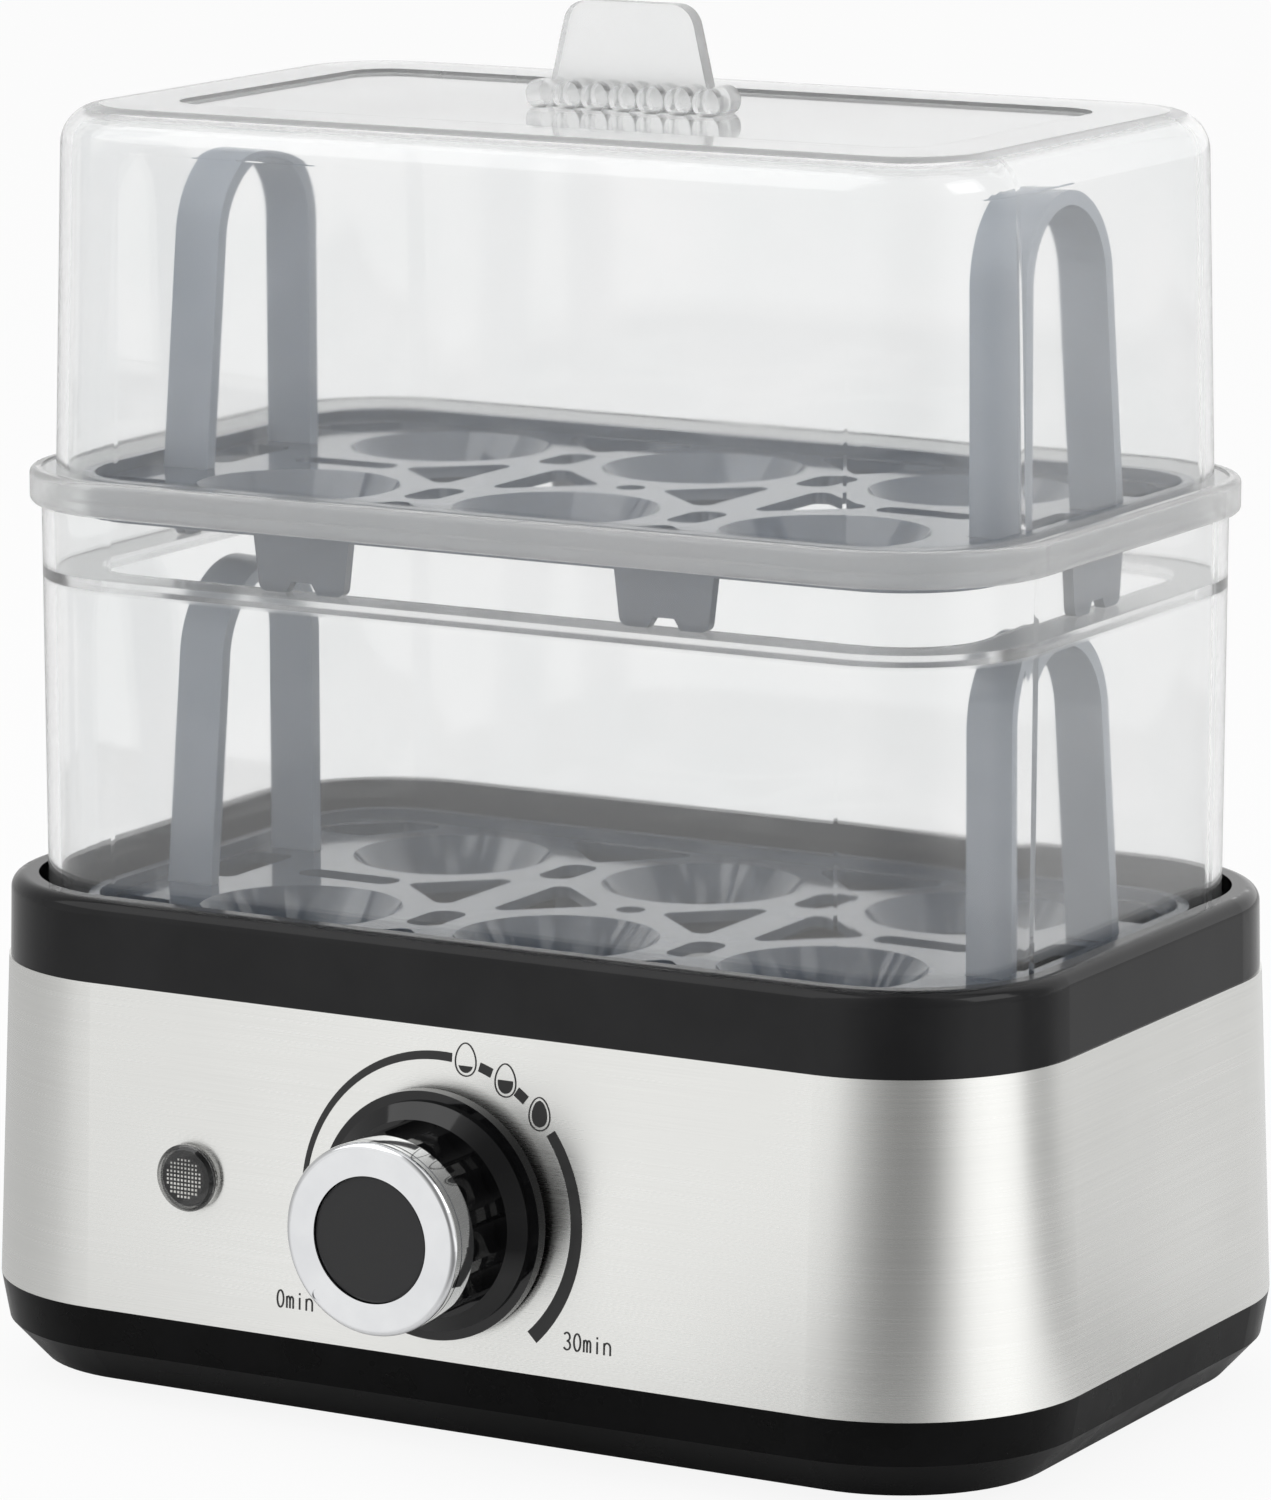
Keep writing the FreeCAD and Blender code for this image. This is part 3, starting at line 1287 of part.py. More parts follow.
def build_handle(name, deck_level, side):
    """A ribbon arch clipped into slots of the rack's deck, leaning a little inwards."""
    turn = Rotation(Vector(0, 1, 0), -side * number("handle_lean"))
    body = new_body(name, "%d * handle_place" % side, "0", deck_level, turn)
    sketch = new_sketch(body, name + "_arch", "YZ_Plane", "-handle_width / 2")
    centre = Vector(0, number("handle_rise - handle_bend"), 0)
    outer, gauge = number("handle_bend"), number("handle_gauge")
    foot = Vector(number("(handle_span + handle_gauge) / 2"), -number("handle_tail"), 0)
    heel = foot - Vector(gauge, 0, 0)
    geometry = []
    for radius, right in ((outer, foot), (outer - gauge, heel)):
        left = Vector(-right.x, right.y, 0)
        touch_right = tangent_point(right, centre, radius, 1)
        touch_left = tangent_point(left, centre, radius, -1)
        top = centre + Vector(0, radius, 0)
        geometry += [Part.LineSegment(right, touch_right), Part.Arc(touch_right, top, touch_left),
                     Part.LineSegment(touch_left, left)]
    geometry.append(Part.LineSegment(foot, heel))
    geometry.append(Part.LineSegment(Vector(-foot.x, foot.y, 0), Vector(-heel.x, heel.y, 0)))
    sketch.addGeometry(geometry, False)
    rules = []
    for first in (0, 3):
        rules.append(Sketcher.Constraint("Tangent", first, 2, first + 1, 1))
        rules.append(Sketcher.Constraint("Tangent", first + 1, 2, first + 2, 1))
    rules.append(Sketcher.Constraint("Coincident", 0, 1, 6, 1))
    rules.append(Sketcher.Constraint("Coincident", 3, 1, 6, 2))
    rules.append(Sketcher.Constraint("Coincident", 2, 2, 7, 1))
    rules.append(Sketcher.Constraint("Coincident", 5, 2, 7, 2))
    rules.append(Sketcher.Constraint("Coincident", 1, 3, 4, 3))
    rules.append(Sketcher.Constraint("PointOnObject", 1, 3, -2))
    rules.append(Sketcher.Constraint("Horizontal", 6))
    rules.append(Sketcher.Constraint("Horizontal", 7))
    rules.append(Sketcher.Constraint("Parallel", 0, 3))
    rules.append(Sketcher.Constraint("Parallel", 2, 5))
    sketch.addConstraint(rules)
    fix(sketch, "Radius", 1, size="handle_bend")
    fix(sketch, "Radius", 4, size="handle_bend - handle_gauge")
    fix(sketch, "DistanceY", -1, 1, 1, 3, size="handle_rise - handle_bend")
    for line, end, way in ((0, 1, 1), (2, 2, -1)):
        fix(sketch, "DistanceX", -1, 1, line, end, size="%d * (handle_span + handle_gauge) / 2" % way)
        fix(sketch, "DistanceY", -1, 1, line, end, size="-handle_tail")
    pad(body, name + "_ribbon", sketch, "handle_width")


def build_lid():
    """The clear cover: flange in the tier's rabbet, rounded top, sunk panel, tab with beads at its root."""
    body = new_body("lid", "0", "0", "lid_bottom")
    loft(body, "cover", [
        outline(body, "cover_low", "0", "lid_low"),
        outline(body, "cover_high", "lid_height", "lid_high"),
    ])
    loft(body, "cover_hollow", [
        outline(body, "cover_low_inside", "0", "lid_low - lid_wall"),
        outline(body, "cover_high_inside", "lid_height - lid_wall", "lid_high - lid_wall"),
    ], cut=True)
    fillet(body, "inside_edge", "lid_edge_radius - lid_wall",
           lambda edge: lies_at(edge, "lid_height - lid_wall"))
    fillet(body, "outside_edge", "lid_edge_radius", lambda edge: lies_at(edge, "lid_height"))
    pad(body, "lid_foot", outline(body, "lid_foot_plan", "0", "lid_flange_offset", "lid_low - lid_wall / 2"),
        "lid_flange")
    panel = new_sketch(body, "panel_plan", level="lid_height")
    add_rounded(panel, "panel_width", "panel_depth", "panel_radius")
    pocket(body, "panel", panel, "panel_sink")
    tab = new_sketch(body, "tab_plan", "XZ_Plane", "-tab_thickness / 2")
    root = "lid_height - lid_wall / 2"
    top = "lid_height + tab_height"
    add_polygon(tab, [
        ("-tab_base_width / 2", root), ("tab_base_width / 2", root),
        ("tab_top_width / 2", top), ("-tab_top_width / 2", top),
    ])
    pad(body, "tab", tab, "tab_thickness")
    fillet(body, "tab_corners", "tab_round",
           lambda edge: lies_at(edge, top) and near(edge.Length, "tab_thickness"))
    beads = new_sketch(body, "bead_plan", "XZ_Plane", "-bead_length / 2")
    middle = (SIZES["bead_count"] - 1) / 2
    for index in range(SIZES["bead_count"]):
        add_circle(beads, "%s * bead_pitch" % (index - middle), "lid_height + bead_rise", "bead_radius")
    pad(body, "beads", beads, "bead_length")


def build():
    """Builds every piece in the order in which the object goes together."""
    build_pan()
    build_feet()
    build_band()
    build_ring()
    build_base_screws()
    build_plate()
    build_gasket()
    build_element()
    build_safety()
    build_timer_case()
    build_timer_train()
    build_knob()
    build_lamp()
    build_gland()
    build_block()
    build_wires()
    build_tier()
    for tier, deck_level in (("lower", "lower_deck"), ("upper", "upper_deck")):
        build_rack(tier + "_rack", deck_level)
        build_handle(tier + "_handle_left", deck_level, -1)
        build_handle(tier + "_handle_right", deck_level, 1)
    build_lid()
    DOC.recompute()


def check():
    """Stops if any object failed or any piece is empty or broken."""
    for item in DOC.Objects:
        if "Invalid" in item.State or "Error" in item.State:
            raise RuntimeError("%s failed: %s" % (item.Name, item.State))
    for item in NODES:
        if item.Shape.isNull() or not item.Shape.isValid() or not item.Shape.Solids:
            raise RuntimeError("%s has no sound solid" % item.Label)


def write():
    """Writes each piece to a file named for it."""
    os.makedirs("parts", exist_ok=True)
    for item in NODES:
        item.Shape.exportStep(os.path.join("parts", item.Label + ".step"))
        print("%-22s %d solid(s) %10.1f mm3" % (item.Label, len(item.Shape.Solids), item.Shape.Volume))


fill_sheets()
build()
check()
write()
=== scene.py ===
"""Looks of the two-tier egg cooker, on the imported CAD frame.

The CAD nodes keep their shapes and get their finishes here. The printed dial and the lamp's facets are
built here, and the studio and the camera follow the photograph.
"""
import logging
import math
from dataclasses import dataclass
from enum import Enum
from typing import Optional, Sequence

import bmesh
import bpy
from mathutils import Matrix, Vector


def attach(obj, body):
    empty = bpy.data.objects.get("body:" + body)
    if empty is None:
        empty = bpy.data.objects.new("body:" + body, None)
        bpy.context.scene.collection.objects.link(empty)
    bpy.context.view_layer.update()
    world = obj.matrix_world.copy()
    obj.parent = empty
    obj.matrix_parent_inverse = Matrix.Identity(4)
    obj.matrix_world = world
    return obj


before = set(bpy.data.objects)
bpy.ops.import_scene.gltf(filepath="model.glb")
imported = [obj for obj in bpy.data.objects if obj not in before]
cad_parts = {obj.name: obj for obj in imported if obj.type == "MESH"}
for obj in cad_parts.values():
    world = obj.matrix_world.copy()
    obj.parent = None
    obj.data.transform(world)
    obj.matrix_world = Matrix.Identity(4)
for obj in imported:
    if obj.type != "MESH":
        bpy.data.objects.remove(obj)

LOG = logging.getLogger("egg_cooker")
MM = 0.001
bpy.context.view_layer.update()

Point = tuple[float, float]
Strip = list[tuple[Point, Point]]


# Materials

# How much duller and how much less sheer a clear finish is where it is frosted.
FROST_DULL = 0.3
FROST_VEIL = 0.25
# The part of a noise's range over which a finish goes from its first shade and gloss to its second.
DRIFT_START, DRIFT_END = 0.3, 0.7
# How far light spreads in milky plastic, in millimetres.
SCATTER = 2.0
# A quarter turn of the brush's tangent.
ACROSS_BRUSH = 0.25


def linear(code: str) -> tuple[float, float, float, float]:
    """Turn an sRGB colour into the linear one that shaders use.

    Args:
        code: The colour as "#rrggbb".

    Returns:
        Linear red, green and blue, and an alpha of 1.
    """
    parts = [int(code[i:i + 2], 16) / 255 for i in (1, 3, 5)]
    red, green, blue = (c / 12.92 if c <= 0.04045 else ((c + 0.055) / 1.055) ** 2.4 for c in parts)
    return red, green, blue, 1.0


def add(tree: bpy.types.NodeTree, kind: str, sockets: Optional[dict] = None,
        **settings: object) -> bpy.types.Node:
    """Add a shader node with its settings and links.

    Args:
        tree: The node tree that gets the node.
        kind: The node's type, without "ShaderNode".
        sockets: Input name or number to a constant, or to the output socket linked to it.
        settings: Properties of the node.

    Returns:
        The new node.
    """
    node = tree.nodes.new("ShaderNode" + kind)
    for name, value in settings.items():
        setattr(node, name, value)
    for name, value in (sockets or {}).items():
        if isinstance(value, bpy.types.NodeSocket):
            tree.links.new(value, node.inputs[name])
        else:
            node.inputs[name].default_value = value
    return node


class Pattern(Enum):
    """The kinds of fine pattern that a finish can show."""

    GRAIN = "TexNoise"
    CELLS = "TexVoronoi"


@dataclass(frozen=True)
class Finish:
    """A material as it leaves its process: two shades, a range of gloss, and a fine pattern with relief.

    Sizes are in millimetres. The shades and the gloss drift over cloud, and the pattern has the size grain
    along X, Y and Z. Where its mould is etched, a clear finish is milky: frosted gives from, to and how much.
    """

    name: str
    shades: tuple[str, str]
    gloss: tuple[float, float]
    grain: tuple[float, float, float]
    relief: float
    cloud: float
    pattern: Pattern = Pattern.GRAIN
    metallic: float = 0.0
    ior: float = 1.5
    transmission: float = 0.0
    subsurface: float = 0.0
    anisotropic: float = 0.0
    streaks: float = 0.0
    frosted: tuple[tuple[float, float, float], ...] = ()

    def material(self) -> bpy.types.Material:
        """Give the finish's material, made the first time it is asked for."""
        made = bpy.data.materials.get(self.name)
        return made if made else self._make()

    def _make(self) -> bpy.types.Material:
        """Make the material's nodes.

        Returns:
            The new material.
        """
        material = bpy.data.materials.new(self.name)
        material.use_nodes = True
        tree = material.node_tree
        tree.nodes.clear()
        place = add(tree, "TexCoord").outputs["Object"]
        fine = add(tree, "Mapping", {"Vector": place, "Scale": [1 / (size * MM) for size in self.grain]})
        grain = add(tree, self.pattern.value, {"Vector": fine.outputs[0], "Scale": 1.0}).outputs[0]
        broad = {"Vector": place, "Scale": 1 / (self.cloud * MM), "Detail": 3.0}
        drift = add(tree, "TexNoise", broad).outputs[0]
        if self.streaks:
            drift = add(tree, "Mix", {"Factor": self.streaks, 2: drift, 3: grain}).outputs[0]
        shade = add(tree, "ValToRGB", {"Fac": drift})
        spots = (DRIFT_START, DRIFT_END)
        for element, spot, code in zip(shade.color_ramp.elements, spots, self.shades):
            element.position, element.color = spot, linear(code)
        rough = add(tree, "MapRange", {"Value": drift, "From Min": DRIFT_START, "From Max": DRIFT_END,
                                       "To Min": self.gloss[0], "To Max": self.gloss[1]})
        dull, sheer = rough.outputs[0], self.transmission
        if self.frosted:
            frost = self._frost(tree, place)
            dull = add(tree, "Math", {0: frost, 1: FROST_DULL, 2: dull}, operation="MULTIPLY_ADD").outputs[0]
            sheer = add(tree, "Math", {0: frost, 1: -FROST_VEIL, 2: sheer},
                        operation="MULTIPLY_ADD").outputs[0]
        bump = add(tree, "Bump", {"Height": grain, "Distance": self.relief * MM, "Strength": 1.0})
        shader = add(tree, "BsdfPrincipled", {
            "Base Color": shade.outputs["Color"], "Roughness": dull, "Normal": bump.outputs[0],
            "Metallic": self.metallic, "IOR": self.ior, "Transmission Weight": sheer,
            "Subsurface Weight": self.subsurface, "Subsurface Radius": [SCATTER * MM] * 3,
            "Anisotropic": self.anisotropic,
        })
        if self.anisotropic:
            # The brush runs level round the band, so highlights spread up and down.
            around = add(tree, "Tangent", direction_type="RADIAL", axis="Z")
            tree.links.new(around.outputs[0], shader.inputs["Tangent"])
            shader.inputs["Anisotropic Rotation"].default_value = ACROSS_BRUSH
        output = add(tree, "OutputMaterial")
        tree.links.new(shader.outputs[0], output.inputs["Surface"])
        return material

    def _frost(self, tree: bpy.types.NodeTree, place: bpy.types.NodeSocket) -> bpy.types.NodeSocket:
        """Give how milky the finish is, by height: 0 is clear.

        Args:
            tree: The tree that gets the nodes.
            place: The place on the object.

        Returns:
            The socket with the share.
        """
        height = add(tree, "SeparateXYZ", {0: place}).outputs["Z"]
        share = 0.0
        for low, high, amount in self.frosted:
            middle, half = (low + high) / 2 * MM, (high - low) / 2 * MM
            band = add(tree, "Math", {0: height, 1: middle, 2: half}, operation="COMPARE").outputs[0]
            share = add(tree, "Math", {0: band, 1: amount, 2: share}, operation="MULTIPLY_ADD").outputs[0]
        return share


# Clear SAN, injection moulded: glass-clear walls with a faint flow ripple, so edges darken and white shows
# through. Etched places look milky: the tier's ledge and rim, the lid's top, the edge of its sunk panel, and
# its tab.
CLEAR = Finish("Clear_SAN_moulded", ("#fbfcfc", "#ffffff"), (0.02, 0.06), (22, 22, 30), 0.012, 30,
               ior=1.5, transmission=0.95,
               frosted=((141.5, 144.1, 0.4), (154.9, 161.5, 0.42), (223.7, 224.6, 0.12),
                        (223.82, 224.48, 0.7), (224.6, 243.0, 0.5)))
# Polypropylene tinted blue-grey, moulded: glossy, so the deck is pale at grazing angles and the seats dark.
# Its IOR is raised from 1.49 to match that.
RACK = Finish("Blue_grey_PP_moulded", ("#566170", "#626d7c"), (0.06, 0.12), (0.9, 0.9, 0.9), 0.003, 14,
              ior=1.85, subsurface=0.1)
# The same polypropylene in thin straps, drawn in paler shades: painted light for the light that passes into
# them and the reflections they catch, so they look paler and softer.
STRAP_PAINTED_LIGHT = Finish("Blue_grey_PP_thin_painted_light", ("#a5aeba", "#b2bac5"), (0.14, 0.24), (0.9, 0.9, 0.9), 0.004, 14,
               ior=1.49, subsurface=0.25)
# Black ABS from a polished mould: deep gloss with a slight orange peel that softens long reflections. Its
# IOR, and the pan's, are lowered from 1.54 to match how dark the sides stay.
GLOSS_BLACK = Finish("Black_ABS_gloss_moulded", ("#1a1a1b", "#202021"), (0.08, 0.14), (1.6, 1.6, 1.6),
                     0.003, 12, ior=1.3)
# Black ABS from a mirror-polished mould: sharp small glints that pick out the knob's flutes.
KNOB_BLACK = Finish("Black_ABS_polished_moulded", ("#0b0b0c", "#111112"), (0.04, 0.09), (1.6, 1.6, 1.6),
                    0.002, 12, ior=1.47)
# Black ABS from a lightly blasted mould, for the pan near the table: duller than the gloss, and darker, its
# darker shades being painted shade from the table close below.
PAN_BLACK_PAINTED_SHADE = Finish("Black_ABS_blasted_painted_shade", ("#080808", "#0d0d0e"), (0.24, 0.34), (0.6, 0.6, 0.6),
                   0.006, 9, ior=1.17)
# Black ABS from an etched mould: a fine dull grain. The 0.1 mm grain is drawn at 0.3 mm so that it shows.
SATIN_BLACK = Finish("Black_ABS_etched_moulded", ("#171718", "#1e1e20"), (0.42, 0.55), (0.3, 0.3, 0.3),
                     0.015, 6, ior=1.5)
# Stainless sheet, brushed level: fine streaks round the band. The 0.05 mm lines are drawn at 0.22 mm to show.
BRUSHED = Finish("Stainless_steel_brushed", ("#eaeae7", "#f2f2ef"), (0.22, 0.3), (60, 60, 0.22), 0.00025, 45,
                 metallic=1.0, anisotropic=0.75, streaks=0.5)
# Stainless dish, pressed and polished: near mirror with broad drawn streaks and faint water bloom.
POLISHED = Finish("Stainless_steel_pressed", ("#c6c6c4", "#d4d4d2"), (0.14, 0.26), (9, 0.5, 0.5), 0.002, 18,
                  metallic=1.0, streaks=0.3)
# Steel, zinc plated: pale blue-grey metal with small crystal facets.
ZINC = Finish("Steel_zinc_plated", ("#a9adb1", "#bcc0c4"), (0.3, 0.44), (2.2, 2.2, 2.2), 0.004, 7,
              pattern=Pattern.CELLS, metallic=1.0, streaks=0.5)
# Chromium plate on ABS: mirror bright, with only finger-soft haze.
CHROME = Finish("Chrome_plated_ABS", ("#e4e5e7", "#eeeff0"), (0.03, 0.07), (5, 5, 5), 0.002, 9, metallic=1.0)
# Rubber, compression moulded: dull and dark with a fine grain.
RUBBER = Finish("Rubber_moulded", ("#1a1a1a", "#242424"), (0.72, 0.86), (0.4, 0.4, 0.4), 0.03, 5, ior=1.52)
# Silicone seal, moulded: milky and soft, with a dry sheen.
SILICONE = Finish("Silicone_moulded", ("#cfcac0", "#ddd9d1"), (0.5, 0.62), (0.5, 0.5, 0.5), 0.012, 9,
                  ior=1.41, subsurface=0.3)
# Heater sheath, nickel alloy, annealed: dull brown-grey oxide with patches of heat colour.
HEATER = Finish("Nickel_alloy_annealed", ("#4d4640", "#6a6259"), (0.45, 0.62), (1.2, 1.2, 1.2), 0.01, 8,
                metallic=0.9, streaks=0.3)
# Brass, stamped: warm yellow metal with fine tool marks.
BRASS = Finish("Brass_stamped", ("#b08d4f", "#c5a263"), (0.22, 0.36), (3, 0.3, 0.3), 0.003, 5,
               metallic=1.0, streaks=0.4)
# Nylon, moulded natural: ivory and waxy.
NYLON = Finish("Nylon_natural_moulded", ("#dcd7ca", "#e8e4da"), (0.38, 0.5), (0.4, 0.4, 0.4), 0.008, 8,
               ior=1.53, subsurface=0.2)
# Polycarbonate lens, moulded clear: its grey tint is painted shade for the dark plug seen through it.
LENS_PAINTED_SHADE = Finish("Clear_PC_lens_painted_shade", ("#a2a2a1", "#b0b0af"), (0.02, 0.05), (3, 3, 3), 0.006, 5,
              ior=1.585, transmission=1.0)
# Facets on the lens, drawn in white: painted highlights for the light that the clear facets catch, small
# bright points.
FACET_PAINTED_HIGHLIGHT = Finish("PC_facets_painted_highlight", ("#d9d8d4", "#f0efec"), (0.2, 0.3), (0.36, 0.36, 0.36),
               0.01, 2, ior=1.585)
# Neon lamp, blown soda glass: thin, clear and slightly warm.
GLASS = Finish("Soda_glass_blown", ("#f3e6d8", "#f8efe4"), (0.01, 0.03), (4, 4, 4), 0.01, 6,
               ior=1.52, transmission=1.0)
# Wire covers, PVC extruded: even colour with faint lengthwise drag and low gloss.
BROWN_WIRE = Finish("PVC_brown_extruded", ("#5a3a25", "#68462f"), (0.36, 0.48), (4, 0.4, 0.4),
                    0.006, 6, ior=1.54)
BLUE_WIRE = Finish("PVC_blue_extruded", ("#1f4f8a", "#2a5c98"), (0.36, 0.48), (4, 0.4, 0.4),
                   0.006, 6, ior=1.54)
RED_WIRE = Finish("PVC_red_extruded", ("#a1261f", "#b2342b"), (0.36, 0.48), (4, 0.4, 0.4), 0.006, 6, ior=1.54)
# Screen ink, printed and baked: flat charcoal with a slight mesh grain.
INK = Finish("Screen_ink_printed", ("#242424", "#2d2d2d"), (0.42, 0.55), (0.25, 0.25, 0.25),
             0.004, 4, ior=1.5)


# Meshes


def dress(finish: Finish, *nodes: str) -> None:
    """Give CAD nodes a finish.

    Args:
        finish: The finish.
        nodes: The nodes' names.
    """
    material = finish.material()
    for name in nodes:
        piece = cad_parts[name]
        if not piece.material_slots:
            piece.data.materials.append(None)
        for slot in piece.material_slots:
            slot.material = material
        LOG.info("%s: %s", name, finish.name)


def make_piece(name: str, mesh: bmesh.types.BMesh, finish: Finish, body: str) -> None:
    """Turn a mesh in the row frame into a piece that rides on a body.

    Args:
        name: The piece's name.
        mesh: The mesh, in metres. It is freed.
        finish: Its finish.
        body: The CAD body that carries it.
    """
    bmesh.ops.recalc_face_normals(mesh, faces=mesh.faces)
    data = bpy.data.meshes.new(name)
    mesh.to_mesh(data)
    mesh.free()
    data.materials.append(finish.material())
    piece = bpy.data.objects.new(name, data)
    bpy.context.scene.collection.objects.link(piece)
    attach(piece, body)
    LOG.info("%s: built, %d faces, on %s", name, len(data.polygons), body)


@dataclass(frozen=True)
class FrontFace:
    """The band's front face, which leans back a little. Sizes in millimetres, in the row frame.

    The level and the depth are where the knob's axis meets the face, and the lean is the band's draft over
    its height.
    """

    level: float = 42.9
    depth: float = -56.995
    lean: float = math.atan2(2.2, 57.5)

    def point(self, across: float, up: float, lift: float = 0.0) -> Vector:
        """Find a point on the face or in front of it.

        Args:
            across: Distance to the right of the knob's axis.
            up: Distance up the face from the knob's axis.
            lift: Distance in front of the face.

        Returns:
            The point in metres.
        """
        rise, back = math.cos(self.lean), math.sin(self.lean)
        behind, above = up * back - lift * rise, up * rise + lift * back
        return Vector((across, self.depth + behind, self.level + above)) * MM


def stroke(path: Sequence[Point], widths: Sequence[float], closed: bool = False) -> Strip:
    """Widen a line into a strip.

    Args:
        path: The line's points.
        widths: The strip's width at each point.
        closed: Whether the line returns to its start.

    Returns:
        Pairs of points, one on each edge of the strip.
    """
    count, pairs = len(path), []
    for i, (spot, width) in enumerate(zip(path, widths)):
        before = path[i - 1] if i or closed else path[i]
        after = path[(i + 1) % count] if i + 1 < count or closed else path[i]
        along = Vector((after[0] - before[0], after[1] - before[1])).normalized()
        side = Vector((-along.y, along.x)) * (width / 2)
        pairs.append(((spot[0] + side.x, spot[1] + side.y), (spot[0] - side.x, spot[1] - side.y)))
    return pairs + pairs[:1] if closed else pairs


def print_strip(mesh: bmesh.types.BMesh, face: FrontFace, strip: Strip, lift: float, thick: float) -> None:
    """Lay a strip of ink on the front face.

    Args:
        mesh: The mesh that gets the ink.
        face: The face under it.
        strip: The strip's pairs of points, in millimetres.
        lift: Gap under the ink.
        thick: The ink's thickness.
    """
    rows = [[mesh.verts.new(face.point(*spot, lift + rise)) for spot in pair for rise in (0.0, thick)]
            for pair in strip]
    for (a, b, c, d), (e, f, g, h) in zip(rows, rows[1:]):
        for corners in ((b, d, h, f), (a, c, g, e), (a, b, f, e), (c, d, h, g)):
            mesh.faces.new(corners)
    for a, b, c, d in (rows[0], rows[-1]):
        mesh.faces.new((a, b, d, c))


def arc_points(middle: Point, radii: Point, start: float, end: float, count: int) -> list[Point]:
    """Give points along an ellipse, with angles in degrees from the right, anticlockwise."""
    turns = [math.radians(start + (end - start) * i / (count - 1)) for i in range(count)]
    return [(middle[0] + radii[0] * math.cos(t), middle[1] + radii[1] * math.sin(t)) for t in turns]


# Sub-assemblies


class Doneness(Enum):
    """How an egg is cooked, as the share of its height that its picture fills."""

    SOFT = 0.26
    MEDIUM = 0.5
    HARD = 1.0


@dataclass
class DialPrint:
    """The printed time scale round the knob: a widening arc, three egg pictures and two times."""

    face: FrontFace = FrontFace()
    radius: float = 26.9
    sweep: float = 136.0
    thin: float = 0.55
    wide: float = 2.5
    stretches: tuple[tuple[float, float], ...] = ((-136.0, 4.5), (16.2, 21.7), (33.4, 38.3), (53.4, 136.0))
    egg_angles: tuple[float, float, float] = (10.2, 27.7, 45.4)
    egg_radius: float = 27.2
    egg_half: Point = (2.12, 2.95)
    egg_line: float = 0.24
    egg_gap: float = 0.42
    egg_taper: float = 0.16
    egg_corners: int = 48
    fill_rows: int = 21
    arc_step: float = 2.5
    glyph: Point = (1.42, 2.95)
    advance: float = 1.94
    line: float = 0.3
    text_foot: float = -20.6
    start_left: float = -32.1
    end_left: float = 24.8
    lift: float = 0.02
    thick: float = 0.06

    def _lay(self, mesh: bmesh.types.BMesh, strip: Strip) -> None:
        """Lay one strip of the print."""
        print_strip(mesh, self.face, strip, self.lift, self.thick)

    def _arc(self) -> None:
        """Build the scale's arc, which widens towards the long times and stops at the egg pictures."""
        mesh = bmesh.new()
        for start, end in self.stretches:
            count = max(3, round((end - start) / self.arc_step))
            angles = [start + (end - start) * i / (count - 1) for i in range(count)]
            path = [(self.radius * math.sin(math.radians(a)), self.radius * math.cos(math.radians(a)))
                    for a in angles]
            share = [(a + self.sweep) / (2 * self.sweep) for a in angles]
            self._lay(mesh, stroke(path, [self.thin + (self.wide - self.thin) * s for s in share]))
        make_piece("dial_arc", mesh, INK, "base")

    def _egg_half_width(self, height: float, shrink: float) -> float:
        """Give half an egg's width at a height from -1 to 1, drawn in by shrink millimetres."""
        taper = 1.0 - self.egg_taper * height
        return (self.egg_half[0] - shrink) * math.sqrt(max(0.0, 1.0 - height * height)) * taper

    def _egg(self, angle: float, done: Doneness) -> None:
        """Build one egg picture.

        Args:
            angle: Its place on the scale, in degrees right of the top.
            done: How full it is.
        """
        mesh = bmesh.new()
        turn = math.radians(angle)
        middle = (self.egg_radius * math.sin(turn), self.egg_radius * math.cos(turn))
        tall = self.egg_half[1] - self.egg_line / 2
        ring = []
        for i in range(self.egg_corners):
            t = 2 * math.pi * i / self.egg_corners
            height = math.cos(t)
            wide = self._egg_half_width(height, self.egg_line / 2) * (1 if math.sin(t) >= 0 else -1)
            ring.append((middle[0] + wide, middle[1] + tall * height))
        self._lay(mesh, stroke(ring, [self.egg_line] * self.egg_corners, closed=True))
        inner = self.egg_half[1] - self.egg_line - self.egg_gap
        top = -1.0 + 2.0 * done.value
        fill = []
        for i in range(self.fill_rows):
            height = -1.0 + (top + 1.0) * i / (self.fill_rows - 1)
            # The ends stay just short of the tips, where the fill would have no width.
            height = max(-0.998, min(0.998, height))
            wide = max(0.05, self._egg_half_width(height, self.egg_line + self.egg_gap))
            level = middle[1] + inner * height
            fill.append(((middle[0] - wide, level), (middle[0] + wide, level)))
        self._lay(mesh, fill)
        make_piece("egg_mark_" + done.name.lower(), mesh, INK, "base")

    def _glyph_paths(self, sign: str) -> list[list[Point]]:
        """Give the lines of one character in a unit box.

        Args:
            sign: The character.

        Returns:
            One list of points for each line.
        """
        arch = arc_points((0.5, 0.46), (0.42, 0.25), 180, 0, 9)
        half = [arc_points((middle, 0.5), (0.22, 0.2), 180, 0, 7) for middle in (0.27, 0.73)]
        return {
            "0": [arc_points((0.5, 0.5), (0.44, 0.5), 90, 450, 29)],
            "3": [arc_points((0.46, 0.76), (0.4, 0.24), 150, -90, 13),
                  arc_points((0.46, 0.26), (0.46, 0.26), 90, -150, 15)],
            "m": [[(0.05, 0.0), (0.05, 0.7)], half[0] + [(0.49, 0.0)], half[1] + [(0.95, 0.0)]],
            "i": [[(0.5, 0.0), (0.5, 0.7)], [(0.5, 0.86), (0.5, 0.98)]],
            "n": [[(0.08, 0.0), (0.08, 0.7)], arch + [(0.92, 0.0)]],
        }[sign]

